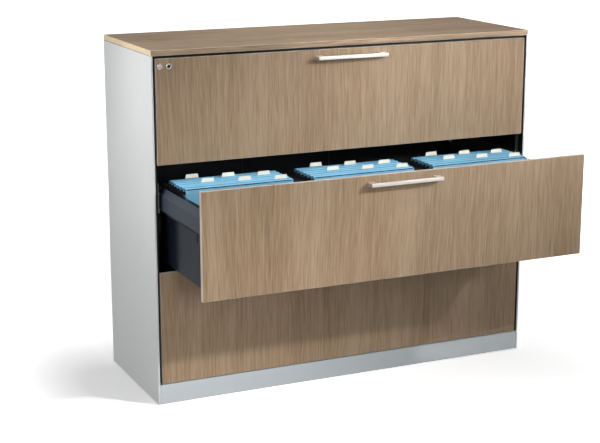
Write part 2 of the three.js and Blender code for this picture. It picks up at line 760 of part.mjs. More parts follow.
function carcass() {
  const group = new THREE.Group();
  for (const { name, sign } of SIDES) {
    group.add(piece(`${name}_side`, sidePanel(sign), FINISHES.lightPaint));
    const front = upright(sign, UPRIGHT_FRONT);
    const slotted = sign < 0 ? cutFrom(front, barWindows(BAR_END_REACH, UPRIGHT_REACH + SEAT)) : front;
    group.add(piece(`front_upright_${name}`, slotted, FINISHES.darkPaint));
    const rear = upright(sign, INNER_BACK - REAR_UPRIGHT_GAP - UPRIGHT_DEPTH);
    group.add(piece(`rear_upright_${name}`, rear, FINISHES.darkPaint));
    group.add(piece(`foot_front_${name}`, levellingFoot(sign, FOOT_SETBACK), FINISHES.plastic));
    group.add(piece(`foot_rear_${name}`, levellingFoot(sign, INNER_BACK - FOOT_SETBACK), FINISHES.plastic));
    for (const level of LEVELS) {
      group.add(piece(`fixed_rail_${level.name}_${name}`, fixedRail(sign, level), FINISHES.runnerSteel));
    }
  }
  const board = block([-HALF_WIDTH, 0, BOARD_BOTTOM], [HALF_WIDTH, DEPTH, BOARD_BOTTOM + BOARD_THICKNESS]);
  const plinthHalf = HALF_WIDTH - FRONT_RETURN - SEAT;
  const rearHalf = HALF_WIDTH - SKIN_REACH - CARCASS_SHEET - SEAT;
  group.add(
    piece("back_panel", backPanel(), FINISHES.lightPaint),
    piece("base_panel", basePanel(), FINISHES.darkPaint),
    piece("top_panel", topPanel(), FINISHES.darkPaint),
    piece("top_board", board, FINISHES.wood),
    piece("plinth", baseChannel(0, 1, plinthHalf), FINISHES.lightPaint),
    piece("rear_base_rail", baseChannel(INNER_BACK, -1, rearHalf), FINISHES.darkPaint),
    piece("locking_bar", lockingBar(), FINISHES.runnerSteel),
  );
  return group;
}

function drawer(level) {
  const group = new THREE.Group();
  const front = level === TOP_LEVEL ? lockFront() : drawerFront(level);
  group.add(
    piece(`front_${level.name}`, front, FINISHES.wood),
    piece(`handle_${level.name}`, handle(level), FINISHES.nickel),
    piece(`tray_${level.name}`, tray(level), FINISHES.darkPaint),
  );
  for (const { name, sign } of SIDES) {
    group.add(piece(`drawer_rail_${level.name}_${name}`, drawerRail(sign, level), FINISHES.darkPaint));
    const partition = divider((sign * BAY_PITCH) / 2, level);
    group.add(piece(`divider_${level.name}_${name}`, partition, FINISHES.darkPaint));
  }
  group.position.y = -level.pull;
  return group;
}

function slides(level) {
  const group = new THREE.Group();
  for (const { name, sign } of SIDES) {
    group.add(piece(`mid_rail_${level.name}_${name}`, midRail(sign, level), FINISHES.runnerSteel));
  }
  group.position.y = -level.pull / 2;
  return group;
}

function lock() {
  const group = new THREE.Group();
  group.add(
    piece("lock_body", lockBody(), FINISHES.nickel),
    piece("lock_nut", lockNut(), FINISHES.runnerSteel),
    piece("lock_core", lockCore(), FINISHES.nickel),
    piece("lock_cam", lockCam(), FINISHES.runnerSteel),
    piece("cover_cap", coverCap(), FINISHES.nickel),
  );
  return group;
}

function fileRows(level) {
  const group = new THREE.Group();
  ["left", "centre", "right"].forEach((name, i) => {
    const centre = (i - (BAY_COUNT - 1) / 2) * BAY_PITCH;
    group.add(piece(`hanging_files_${name}`, hangingFiles(centre, level), FINISHES.card));
  });
  return group;
}

const cabinet = new THREE.Group();
cabinet.add(carcass());
for (const level of LEVELS) {
  const pulled = drawer(level);
  if (level === TOP_LEVEL) pulled.add(lock());
  if (level.pull > 0) pulled.add(fileRows(level));
  cabinet.add(pulled, slides(level));
}
cabinet.position.y = -(DEPTH - REST_PULL - HANDLE_REACH) / 2;

const model = new THREE.Group();
model.add(cabinet);

export default model;
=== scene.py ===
"""Looks of a three-drawer lateral filing cabinet.

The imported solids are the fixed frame. Folded sheet metal keeps its solids and gets finishes and soft folds.
Boards, handles, the lock, feet and hanging files are modelled afresh over the solids that they stand for.
"""

import logging
import math
import random
from collections.abc import Sequence
from dataclasses import dataclass
from enum import Enum

import bmesh
import bpy
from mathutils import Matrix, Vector


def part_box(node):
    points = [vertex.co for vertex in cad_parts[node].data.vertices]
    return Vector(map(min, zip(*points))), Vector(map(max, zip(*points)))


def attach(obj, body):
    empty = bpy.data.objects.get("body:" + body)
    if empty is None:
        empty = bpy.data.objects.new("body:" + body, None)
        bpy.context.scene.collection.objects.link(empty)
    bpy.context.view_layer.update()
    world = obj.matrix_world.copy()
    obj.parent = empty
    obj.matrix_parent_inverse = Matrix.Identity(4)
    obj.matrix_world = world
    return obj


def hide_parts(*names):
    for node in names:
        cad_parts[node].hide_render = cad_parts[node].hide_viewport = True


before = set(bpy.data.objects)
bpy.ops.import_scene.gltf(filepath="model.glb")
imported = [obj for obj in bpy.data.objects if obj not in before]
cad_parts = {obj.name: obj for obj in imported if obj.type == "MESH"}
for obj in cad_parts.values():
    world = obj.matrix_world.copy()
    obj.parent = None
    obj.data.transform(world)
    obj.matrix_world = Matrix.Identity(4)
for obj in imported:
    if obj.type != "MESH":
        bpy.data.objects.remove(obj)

LOG = logging.getLogger("filing_cabinet")
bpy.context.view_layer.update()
MM = 0.001
NOISE_SPAN = (0.3, 0.7)  # Where nearly all values of a noise lie
LEFT, RIGHT, FRONT, BACK = (-1.0, 0.0, 0.0), (1.0, 0.0, 0.0), (0.0, -1.0, 0.0), (0.0, 1.0, 0.0)
WHITE = (1.0, 1.0, 1.0)

NodeSocket = bpy.types.NodeSocket
Point = tuple[float, float, float]
Outline = list[tuple[float, float]]
Colour = tuple[float, float, float]
Feed = NodeSocket | float | Sequence[float]


class Level(Enum):
    """The three drawers, by their place in the cabinet."""

    BOTTOM = "bottom"
    MIDDLE = "middle"
    TOP = "top"


class Side(Enum):
    """The two flanks."""

    LEFT = "left"
    RIGHT = "right"


class Row(Enum):
    """The three rows of hanging files in the open drawer."""

    LEFT = "left"
    CENTRE = "centre"
    RIGHT = "right"


class Axis(Enum):
    """A direction of the frame, as an index into its coordinates."""

    X = 0
    Y = 1
    Z = 2


class Effect(Enum):
    """Surface effects that several finishes share, each with its node group's name, inputs and outputs."""

    GRAIN = ("wood_grain", ("Vector", "Cool", "Warm", "Contrast"), ("Color", "Height", "Roughness"))
    COAT = ("powder_coat", ("Vector", "Color", "Fleck", "Gloss"), ("Color", "Height", "Roughness"))
    # Paler edges and folds: partly wear from handling, partly painted highlight
    WEAR = ("edge_wear", ("Vector",), ("Mask",))
    BRUSH = ("brush_lines", ("Vector",), ("Tone", "Height", "Roughness"))
    FIBRE = ("card_fibre", ("Vector", "Color"), ("Color", "Height", "Roughness"))
    MARKS = ("handling_marks", ("Vector",), ("Mask",))
    FACING = ("facing_share", ("Normal", "Direction"), ("Mask",))


# Shader graphs


class Graph:
    """Short ways to place and join the nodes of one node tree."""

    MIX_SHARE, MIX_FIRST, MIX_SECOND, MIX_RESULT = 0, 6, 7, 2  # Sockets of a Mix node that mixes colours

    def __init__(self, tree: bpy.types.NodeTree) -> None:
        """Start on a node tree."""
        self.tree = tree

    def add(self, kind: str, feeds: dict[str | int, Feed] | None = None, **settings: object) -> bpy.types.Node:
        """Place a node.

        Args:
            kind: Blender's name of the node type.
            feeds: What goes into each input, a socket or a fixed value.
            settings: Properties of the node itself.

        Returns:
            The new node.
        """
        node = self.tree.nodes.new(kind)
        for key, value in settings.items():
            setattr(node, key, value)
        for key, value in (feeds or {}).items():
            self.feed(node.inputs[key], value)
        return node

    def feed(self, socket: NodeSocket, value: Feed) -> None:
        """Link a socket into an input, or set the input to a fixed value.

        Args:
            socket: The input.
            value: A socket, number, vector or colour.
        """
        if isinstance(value, NodeSocket):
            self.tree.links.new(value, socket)
        elif socket.type == "RGBA" and len(value) == 3:
            socket.default_value = (*value, 1.0)
        else:
            socket.default_value = value

    def math(self, operation: str, *terms: Feed) -> NodeSocket:
        """The result of a Math node."""
        return self.add("ShaderNodeMath", dict(enumerate(terms)), operation=operation).outputs[0]

    def vector(self, operation: str, *terms: Feed, result: str = "Vector") -> NodeSocket:
        """The result of a Vector Math node, its vector or its value."""
        return self.add("ShaderNodeVectorMath", dict(enumerate(terms)), operation=operation).outputs[result]

    def noise(self, vector: Feed, factors: Sequence[float], detail: float = 2.0, rough: float = 0.5) -> NodeSocket:
        """Noise from 0 to 1, with so many features per metre along each axis."""
        feeds = {"Vector": self.vector("MULTIPLY", vector, factors), "Scale": 1.0, "Detail": detail, "Roughness": rough}
        return self.add("ShaderNodeTexNoise", feeds).outputs["Fac"]

    def spread(self, value: Feed, low: float, high: float, to_low: float = 0.0, to_high: float = 1.0) -> NodeSocket:
        """A value mapped from one range to another, clamped."""
        feeds = {"Value": value, "From Min": low, "From Max": high, "To Min": to_low, "To Max": to_high}
        return self.add("ShaderNodeMapRange", feeds).outputs["Result"]

    def mixed(self, share: Feed, first: Feed, second: Feed) -> NodeSocket:
        """Two colours mixed, with a share of the second."""
        feeds = {self.MIX_SHARE: share, self.MIX_FIRST: first, self.MIX_SECOND: second}
        return self.add("ShaderNodeMix", feeds, data_type="RGBA").outputs[self.MIX_RESULT]

    def toned(self, colour: Feed, tone: Feed) -> NodeSocket:
        """A colour made darker or lighter by a value of about 1."""
        return self.add("ShaderNodeVectorMath", {0: colour, "Scale": tone}, operation="SCALE").outputs[0]


class EffectGroup(Graph):
    """A shared effect, built as a shader node group."""

    KINDS = dict.fromkeys(("Vector", "Normal", "Direction"), "NodeSocketVector")
    KINDS |= dict.fromkeys(("Color", "Cool", "Warm"), "NodeSocketColor")
    GRAIN_BASE = -1.265  # Takes off the mean of the grain's weighted layers
    WEAR_RADIUS = 1.2 * MM

    def __init__(self, effect: Effect) -> None:
        """Make the group's sockets and fill it in.

        Args:
            effect: Which effect.
        """
        name, inputs, outputs = effect.value
        super().__init__(bpy.data.node_groups.new(name, "ShaderNodeTree"))
        for direction, sockets in (("INPUT", inputs), ("OUTPUT", outputs)):
            for socket in sockets:
                kind = self.KINDS.get(socket, "NodeSocketFloat")
                self.tree.interface.new_socket(socket, in_out=direction, socket_type=kind)
        self.given = self.add("NodeGroupInput").outputs
        self.result = self.add("NodeGroupOutput").inputs
        getattr(self, f"_{effect.name.lower()}")()

    def _put(self, **values: Feed) -> None:
        """Feed the group's outputs."""
        for name, value in values.items():
            self.feed(self.result[name], value)

    def _grain(self) -> None:
        """Printed wood decor along Z: streaks of every width, fine lines, pores and a cross sheen."""
        place = self.given["Vector"]
        lean = self.spread(self.noise(place, (1.6, 1.6, 0.9)), *NOISE_SPAN, -0.015, 0.015)
        waver = self.spread(self.noise(place, (7.0, 7.0, 2.4), 1.0), *NOISE_SPAN, -0.0025, 0.0025)
        shift = self.add("ShaderNodeCombineXYZ", {"X": self.math("ADD", lean, waver)}).outputs[0]
        drifted = self.vector("ADD", place, shift)
        bands = self.noise(drifted, (9.0, 9.0, 0.5))
        streaks = self.noise(drifted, (42.0, 42.0, 1.7), 2.0, 0.8)
        lines = self.noise(drifted, (210.0, 210.0, 11.0), 1.5, 0.8)
        fibre = self.noise(drifted, (480.0, 480.0, 16.0))
        sheen = self.noise(drifted, (7.0, 7.0, 18.0))
        pores = self.spread(self.noise(drifted, (900.0, 900.0, 26.0), 1.0), 0.58, 0.72)
        layers = ((bands, 0.64), (streaks, 0.56), (lines, 0.82), (fibre, 0.45), (sheen, 0.08), (pores, -0.06))
        tone: Feed = self.GRAIN_BASE
        for layer, weight in layers:
            tone = self.math("MULTIPLY_ADD", layer, weight, tone)
        tone = self.math("MULTIPLY_ADD", tone, self.given["Contrast"], 1.0)
        cast = self.math("MULTIPLY_ADD", self.noise(drifted, (3.0, 3.0, 0.8), 1.0), 0.3, tone)
        warmth = self.spread(cast, 1.0, 1.3, 1.0, 0.0)
        plain = self.mixed(warmth, self.given["Cool"], self.given["Warm"])
        self._put(
            Color=self.toned(plain, tone),
            Height=self.math("SUBTRACT", fibre, self.math("MULTIPLY", pores, 0.5)),
            Roughness=self.spread(fibre, *NOISE_SPAN, 0.5, 0.62),
        )

    def _coat(self) -> None:
        """Powder coat: a fine peel, faint flecks and a cloudy tone."""
        place = self.given["Vector"]
        peel = self.noise(place, (650.0,) * 3)
        cloud = self.noise(place, (2.3,) * 3)
        cells = self.add("ShaderNodeTexVoronoi", {"Vector": place, "Scale": 1400.0}).outputs["Distance"]
        fleck = self.math("MULTIPLY", self.spread(cells, 0.1, 0.35, 1.0, 0.0), self.given["Fleck"])
        tone = self.math("ADD", self.spread(cloud, *NOISE_SPAN, 0.97, 1.03), fleck)
        rough = self.math("MULTIPLY_ADD", peel, 0.16, self.given["Gloss"])
        self._put(
            Color=self.toned(self.given["Color"], tone),
            Height=peel,
            Roughness=self.math("MULTIPLY_ADD", cloud, 0.08, rough),
        )

    def _wear(self) -> None:
        """Edges for wear from handling and a painted highlight along them, broken up by noise."""
        rounded = self.add("ShaderNodeBevel", {"Radius": self.WEAR_RADIUS}, samples=4).outputs["Normal"]
        flat = self.add("ShaderNodeNewGeometry").outputs["Normal"]
        edge = self.spread(self.vector("DOT_PRODUCT", rounded, flat, result="Value"), 0.8, 0.99, 1.0, 0.0)
        broken = self.spread(self.noise(self.given["Vector"], (60.0,) * 3, 3.0), 0.4, 0.65, 0.2, 1.0)
        self._put(Mask=self.math("MULTIPLY", edge, broken))

    def _brush(self) -> None:
        """Fine lines left by brushing, along whichever axis the coordinates are drawn out."""
        coarse = self.noise(self.given["Vector"], (1.0,) * 3)
        fine = self.noise(self.given["Vector"], (4.0,) * 3, 1.0)
        lines = self.math("MULTIPLY_ADD", fine, 0.4, self.math("MULTIPLY", coarse, 0.6))
        self._put(
            Tone=self.spread(lines, *NOISE_SPAN, 0.9, 1.06),
            Height=lines,
            Roughness=self.spread(lines, *NOISE_SPAN, 0.2, 0.36),
        )

    def _fibre(self) -> None:
        """Paper and card: matted fibres and a slightly uneven dye."""
        mat = self.noise(self.given["Vector"], (420.0, 900.0, 900.0), 3.0)
        dye = self.spread(self.noise(self.given["Vector"], (16.0, 60.0, 60.0)), *NOISE_SPAN, 0.94, 1.05)
        tone = self.math("ADD", self.spread(mat, *NOISE_SPAN, -0.05, 0.05), dye)
        self._put(
            Color=self.toned(self.given["Color"], tone),
            Height=mat,
            Roughness=self.spread(mat, *NOISE_SPAN, 0.62, 0.78),
        )

    def _marks(self) -> None:
        """Faint smears and dust that dull a surface in patches."""
        patches = self.spread(self.noise(self.given["Vector"], (9.0, 9.0, 5.0), 4.0), 0.48, 0.72)
        specks = self.spread(self.noise(self.given["Vector"], (240.0,) * 3), 0.62, 0.72, 0.0, 0.6)
        self._put(Mask=self.math("MAXIMUM", self.math("MULTIPLY", patches, 0.7), specks))

    def _facing(self) -> None:
        """How squarely a surface looks along a direction."""
        self._put(Mask=self.vector("DOT_PRODUCT", self.given["Normal"], self.given["Direction"], result="Value"))


class Surface(Graph):
    """A material in the making, with its shader and the coordinates on its piece, in metres."""

    def __init__(self, material: bpy.types.Material) -> None:
        """Start the material with a bare shader.

        Args:
            material: The material.
        """
        material.use_nodes = True
        super().__init__(material.node_tree)
        self.tree.nodes.clear()
        self.shader = self.add("ShaderNodeBsdfPrincipled")
        self.add("ShaderNodeOutputMaterial", {"Surface": self.shader.outputs["BSDF"]})
        coordinates = self.add("ShaderNodeTexCoord").outputs
        self.place, self.normal = coordinates["Object"], coordinates["Normal"]

    def give(self, feeds: dict[str, Feed]) -> None:
        """Feed the shader's inputs."""
        for name, value in feeds.items():
            self.feed(self.shader.inputs[name], value)

    def effect(self, effect: Effect, **feeds: Feed) -> bpy.types.bpy_prop_collection:
        """Place a shared effect, on the piece's coordinates unless it is given others.

        Args:
            effect: Which effect.
            feeds: What goes into the group's inputs.

        Returns:
            The group's outputs.
        """
        name, inputs, _ = effect.value
        tree = bpy.data.node_groups.get(name) or EffectGroup(effect).tree
        if "Vector" in inputs:
            feeds.setdefault("Vector", self.place)
        return self.add("ShaderNodeGroup", feeds, node_tree=tree).outputs

    def mask(self, effect: Effect, **feeds: Feed) -> NodeSocket:
        """The mask of a shared effect."""
        return self.effect(effect, **feeds)["Mask"]

    def rubbed_and_highlit(self, colour: Feed, bare: Colour, share: float) -> NodeSocket:
        """A colour that goes over into a paler one by a share on edges, for wear from handling and a painted edge
        highlight.
        """
        return self.mixed(self.math("MULTIPLY", self.mask(Effect.WEAR), share), colour, bare)

    def dulled(self, rough: Feed, share: float) -> NodeSocket:
        """A roughness raised by a share where handling has left marks."""
        return self.math("MULTIPLY_ADD", self.mask(Effect.MARKS), share, rough)

    def relief(self, height: Feed, depth: float, strength: float) -> None:
        """Turn a height from 0 to 1 into relief of a depth in metres, shown with a strength."""
        bump = self.add("ShaderNodeBump", {"Height": height, "Distance": depth, "Strength": strength})
        self.give({"Normal": bump.outputs["Normal"]})

    def lay(self, grain: Axis) -> None:
        """Turn the coordinates so that grain, which is drawn along their Z, runs along an axis of the piece.

        Args:
            grain: The axis, X or Z.
        """
        if grain is Axis.X:
            parts = self.add("ShaderNodeSeparateXYZ", {0: self.place}).outputs
            turned = {"X": parts["Y"], "Y": parts["Z"], "Z": parts["X"]}
            self.place = self.add("ShaderNodeCombineXYZ", turned).outputs[0]

    def facing(self, directions: Sequence[Point]) -> Feed:
        """How squarely the surface looks along the nearest of some directions.

        Args:
            directions: The directions, in the frame of the piece.

        Returns:
            The share, from 0 to 1.
        """
        share: Feed = 0.0
        for direction in directions:
            mask = self.mask(Effect.FACING, Normal=self.normal, Direction=direction)
            share = self.math("MAXIMUM", share, mask)
        return share


# Finishes


@dataclass(frozen=True)
class Finish:
    """A surface finish, made into a material on first use."""

    name: str

    def material(self) -> bpy.types.Material:
        """The finish's material, under a name unlike those that the frame brings along.

        Returns:
            The material.
        """
        name = f"{self.name}_finish"
        material = bpy.data.materials.get(name)
        if material is None:
            material = bpy.data.materials.new(name)
            self.shade(Surface(material))
        return material

    def shade(self, surface: Surface) -> None:
        """Feed the shader; each finish does it in its own way."""
        raise NotImplementedError


@dataclass(frozen=True)
class WoodDecor(Finish):
    """Wood-print laminate with its grain along one axis."""

    grain: Axis
    cool: Colour
    warm: Colour
    contrast: float
    DULLING = 0.07
    RELIEF = (0.15 * MM, 0.35)

    def shade(self, surface: Surface) -> None:
        """Lay the grain along its axis, with rubbed patches in the gloss.

        Args:
            surface: The material in the making.
        """
        surface.lay(self.grain)
        grain = surface.effect(Effect.GRAIN, Cool=self.cool, Warm=self.warm, Contrast=self.contrast)
        rough = surface.dulled(grain["Roughness"], self.DULLING)
        surface.give({"Base Color": grain["Color"], "Roughness": rough})
        surface.relief(grain["Height"], *self.RELIEF)


@dataclass(frozen=True)
class EdgeBand(Finish):
    """Plastic edging on the boards, in a paler wood tone."""

    grain: Axis
    cool: Colour
    warm: Colour
    rubbed_and_highlit: Colour
    CONTRAST = 1.0
    RUBBING_AND_HIGHLIGHT = 0.5
    POLISH = 0.08
    RELIEF = (0.1 * MM, 0.2)

    def shade(self, surface: Surface) -> None:
        """A faint grain that pales on the corners, partly from wear and partly as painted highlight.

        Args:
            surface: The material in the making.
        """
        surface.lay(self.grain)
        grain = surface.effect(Effect.GRAIN, Cool=self.cool, Warm=self.warm, Contrast=self.CONTRAST)
        colour = surface.rubbed_and_highlit(grain["Color"], self.rubbed_and_highlit, self.RUBBING_AND_HIGHLIGHT)
        surface.give({"Base Color": colour, "Roughness": surface.math("SUBTRACT", grain["Roughness"], self.POLISH)})
        surface.relief(grain["Height"], *self.RELIEF)


@dataclass(frozen=True)
class PowderCoat(Finish):
    """Powder-coated sheet steel."""

    colour: Colour
    # Paler tone of edges and folds: bare metal from wear, and painted highlight
    bare: Colour
    fleck: float
    gloss: float
    RUBBING_AND_HIGHLIGHT = 0.35
    DULLING = 0.06
    RELIEF = (0.06 * MM, 0.25)

    def shade(self, surface: Surface) -> None:
        """A fine peel, with dulled patches and paler folds, partly from wear and partly as painted highlight.

        Args:
            surface: The material in the making.
        """
        coat = surface.effect(Effect.COAT, Color=self.colour, Fleck=self.fleck, Gloss=self.gloss)
        colour = surface.rubbed_and_highlit(coat["Color"], self.bare, self.RUBBING_AND_HIGHLIGHT)
        surface.give({"Base Color": colour, "Roughness": surface.dulled(coat["Roughness"], self.DULLING)})
        surface.relief(coat["Height"], *self.RELIEF)


@dataclass(frozen=True)
class InwardDarkCoat(PowderCoat):
    """Powder coat that is darker on every face that does not look outwards."""

    outwards: tuple[Point, ...]
    inward_colour: Colour
    TURN = (0.4, 0.7)  # Facing shares between which the darker colour gives way to the outer coat

    def shade(self, surface: Surface) -> None:
        """The outer coat where the surface looks outwards, and the darker colour elsewhere.

        Args:
            surface: The material in the making.
        """
        super().shade(surface)
        outside = surface.shader.inputs["Base Color"].links[0].from_socket
        inside = surface.effect(Effect.COAT, Color=self.inward_colour, Fleck=self.fleck, Gloss=self.gloss)["Color"]
        outer = surface.spread(surface.facing(self.outwards), *self.TURN)
        surface.give({"Base Color": surface.mixed(outer, inside, outside)})


@dataclass(frozen=True)
class TintedCoat(PowderCoat):
    """Powder coat whose gloss has a cast of its own."""

    cast: Colour

    def shade(self, surface: Surface) -> None:
        """The coat, with its mirror tinted."""
        super().shade(surface)
        surface.give({"Specular Tint": self.cast})


@dataclass(frozen=True)
class PlatedMetal(Finish):
    """Plated or lacquered metal, brushed along one axis."""

    colour: Colour
    brushed: Axis
    fineness: float
    dull: float
    bare: float = 1.0
    end_polish: float = 0.0
    LINE_STRETCH = 40
    DULLING = 0.08
    END_TURN = (0.7, 0.9)  # Facing shares between which the polish of the ends sets in
    RELIEF = (0.02 * MM, 0.2)

    def shade(self, surface: Surface) -> None:
        """Brush lines in tone, gloss and relief, with finger marks.

        Args:
            surface: The material in the making.
        """
        factors = [self.fineness] * 3
        factors[self.brushed.value] /= self.LINE_STRETCH
        brush = surface.effect(Effect.BRUSH, Vector=surface.vector("MULTIPLY", surface.place, factors))
        rough = surface.dulled(surface.math("ADD", brush["Roughness"], self.dull), self.DULLING)
        if self.end_polish:
            ends = surface.spread(surface.facing((LEFT, RIGHT)), *self.END_TURN, 0.0, self.end_polish)
            rough = surface.math("SUBTRACT", rough, ends)
        colour = surface.toned(self.colour, brush["Tone"])
        surface.give({"Base Color": colour, "Roughness": rough, "Metallic": self.bare})
        surface.relief(brush["Height"], *self.RELIEF)


@dataclass(frozen=True)
class Moulded(Finish):
    """Moulded plastic with a spark-eroded grain."""

    colour: Colour
    worn_and_highlit: Colour
    gloss: float
    FLECK = 0.05
    RUBBING_AND_HIGHLIGHT = 0.3
    RELIEF = (0.05 * MM, 0.4)

    def shade(self, surface: Surface) -> None:
        """A matt grain that pales at its corners, partly from wear and partly as painted highlight.

        Args:
            surface: The material in the making.
        """
        coat = surface.effect(Effect.COAT, Color=self.colour, Fleck=self.FLECK, Gloss=self.gloss)
        colour = surface.rubbed_and_highlit(coat["Color"], self.worn_and_highlit, self.RUBBING_AND_HIGHLIGHT)
        surface.give({"Base Color": colour, "Roughness": coat["Roughness"]})
        surface.relief(coat["Height"], *self.RELIEF)


@dataclass(frozen=True)
class Card(Finish):
    """Dyed card or paper, pale along its folds from wear and painted highlight."""

    colour: Colour
    rubbed_and_highlit: Colour
    RUBBING_AND_HIGHLIGHT = 0.4
    RELIEF = (0.08 * MM, 0.4)

    def shade(self, surface: Surface) -> None:
        """Matted fibres with pale folds.

        Args:
            surface: The material in the making.
        """
        card = surface.effect(Effect.FIBRE, Color=self.colour)
        colour = surface.rubbed_and_highlit(card["Color"], self.rubbed_and_highlit, self.RUBBING_AND_HIGHLIGHT)
        surface.give({"Base Color": colour, "Roughness": card["Roughness"]})
        surface.relief(card["Height"], *self.RELIEF)


@dataclass(frozen=True)
class FloorFinish(Finish):
    """A plain pale studio floor that the camera sees run out to white."""

    tone: float = 0.5
    shown: float = 1.0
    zone: Point = (3.6, 2.0, 0.0)
    near: tuple[float, float] = (0.3, 1.0)
    near_glow: tuple[float, float] = (0.02, 0.5)
    far: tuple[float, float] = (1.0, 2.4)
    far_glow: tuple[float, float] = (0.0, 1.0)
    ROUGHNESS = 0.8
    SPECULAR = 0.2

    def shade(self, surface: Surface) -> None:
        """A faint unevenness in tone, and a glow round the object's shadow that only the camera sees.

        Args:
            surface: The material in the making.
        """
        seen = surface.add("ShaderNodeLightPath").outputs["Is Camera Ray"]
        uneven = surface.spread(surface.noise(surface.place, (0.7,) * 3, 3.0), *NOISE_SPAN, 0.99, 1.01)
        tone = surface.math("MULTIPLY", surface.spread(seen, 0.0, 1.0, self.tone, self.shown), uneven)
        beside = surface.vector("MULTIPLY", surface.place, self.zone)
        around = surface.vector("LENGTH", beside, result="Value")
        away = surface.vector("LENGTH", surface.place, result="Value")
        shaded = surface.spread(around, *self.near, *self.near_glow)
        distant = surface.spread(away, *self.far, *self.far_glow)
        glow = surface.math("MULTIPLY", seen, surface.math("MAXIMUM", shaded, distant))
        surface.give({"Base Color": tone, "Roughness": self.ROUGHNESS, "Specular IOR Level": self.SPECULAR})
        surface.give({"Emission Color": WHITE, "Emission Strength": glow})


WOOD = {"cool": (0.283, 0.201, 0.127), "warm": (0.3, 0.197, 0.1125)}
WOOD_EDGE = {"cool": (0.32, 0.236, 0.155), "warm": (0.345, 0.235, 0.145)}
FRONT_EDGE = {"cool": (0.48, 0.43, 0.385), "warm": (0.52, 0.44, 0.375)}
BOARD_EDGE = {"cool": (0.6, 0.49, 0.34), "warm": (0.66, 0.51, 0.33)}
# Paler tone of the edge bands' corners: wear and painted highlight
EDGE_RUBBED_AND_LIT = (0.74, 0.66, 0.55)
UPRIGHT_WOOD = WoodDecor("wood_decor_upright", Axis.Z, **WOOD, contrast=1.05)
LENGTHWISE_WOOD = WoodDecor("wood_decor_lengthwise", Axis.X, **WOOD, contrast=1.7)
EDGE_WOOD = WoodDecor("wood_decor_edge", Axis.X, **WOOD_EDGE, contrast=1.3)
UPRIGHT_BAND = EdgeBand("edge_band_upright", Axis.Z, **FRONT_EDGE, rubbed_and_highlit=EDGE_RUBBED_AND_LIT)
LENGTHWISE_BAND = EdgeBand("edge_band_lengthwise", Axis.X, **BOARD_EDGE, rubbed_and_highlit=EDGE_RUBBED_AND_LIT)

# A paint's bare colour is the paler tone of its edges and folds: bare metal showing through wear, and painted highlight
DARK = {"colour": (0.004, 0.0055, 0.009), "bare": (0.03, 0.033, 0.042), "fleck": 0.1}
LIGHT = {"bare": (0.72, 0.72, 0.715), "fleck": 0.06, "gloss": 0.34}
INWARD_DARK = {"colour": (0.588, 0.6, 0.596), **LIGHT, "inward_colour": DARK["colour"]}
# Rib walls look only partly outwards, so they take mostly the darker colour: painted shade in the back's grooves
RIB_WALL_SHADE = ((-0.45, 0.0, 0.0), (0.45, 0.0, 0.0))
LIGHT_PAINT = PowderCoat("light_grey_paint", (0.457, 0.492, 0.509), **LIGHT)
LEFT_PAINT = InwardDarkCoat("light_grey_left", **INWARD_DARK, outwards=(LEFT, FRONT, BACK))
RIGHT_PAINT = InwardDarkCoat("light_grey_right", **INWARD_DARK, outwards=(RIGHT, FRONT, BACK))
BACK_PAINT = InwardDarkCoat("light_grey_back", **INWARD_DARK, outwards=(BACK, *RIB_WALL_SHADE))
DARK_PAINT = PowderCoat("dark_grey_paint", **DARK, gloss=0.32)
TRAY_PAINT = TintedCoat("tray_grey_paint", **DARK, gloss=0.08, cast=(0.62, 0.78, 1.0))
RAIL_PAINT = PowderCoat("rail_grey_paint", (0.036, 0.044, 0.064), (0.1, 0.11, 0.13), fleck=0.1, gloss=0.24)

RUNNER_ZINC = PlatedMetal("runner_zinc", (0.52, 0.53, 0.54), Axis.Y, fineness=420.0, dull=0.08)
SATIN_NICKEL = PlatedMetal(
    "satin_nickel", (0.93, 0.88, 0.84), Axis.X, fineness=800.0, dull=0.06, bare=0.85, end_polish=0.2
)
BRIGHT_NICKEL = PlatedMetal("bright_nickel", (0.78, 0.75, 0.72), Axis.X, fineness=900.0, dull=-0.04, bare=0.9)
# Near-black metal for the lock plug: painted shade of the keyhole
KEYHOLE_SHADE = PlatedMetal("keyhole_painted_shade", (0.05, 0.048, 0.046), Axis.X, fineness=900.0, dull=0.04)
HANGER_STEEL = PlatedMetal("hanger_steel", (0.03, 0.03, 0.033), Axis.X, fineness=700.0, dull=0.2)

FOOT_PLASTIC = Moulded("foot_plastic", (0.018, 0.018, 0.02), (0.1, 0.1, 0.1), gloss=0.42)
# Near-black moulded finish, used for the trays' painted shadow strips
SHADOW_BLACK = Moulded("painted_shadow_black", (0.006, 0.006, 0.007), (0.03, 0.03, 0.03), gloss=0.5)
TAB_PLASTIC = Moulded("tab_plastic", (0.8, 0.765, 0.66), (0.86, 0.84, 0.77), gloss=0.22)
BLUE_CARD = Card("folder_card", (0.2, 0.49, 0.7), (0.36, 0.62, 0.82))
LABEL_PAPER = Card("label_paper", (0.82, 0.785, 0.68), (0.87, 0.85, 0.79))
SHEET_PAPER = Card("sheet_paper", (0.83, 0.83, 0.81), (0.9, 0.9, 0.88))
FLOOR = FloorFinish("studio_floor")


# Mesh making


def arc(centre: tuple[float, float], radius: float, start: float, end: float, steps: int) -> Outline:
    """Points along an arc, from its first angle to its last, in degrees."""
    angles = [math.radians(start + (end - start) * i / steps) for i in range(steps + 1)]
    return [(centre[0] + radius * math.cos(a), centre[1] + radius * math.sin(a)) for a in angles]


def trapezoid(middle: float, halves: tuple[float, float], bottom: float, top: float) -> Outline:
    """A trapezoid, by its half widths at the bottom and at the top."""
    low, high = halves
    return [(middle - low, bottom), (middle + low, bottom), (middle + high, top), (middle - high, top)]


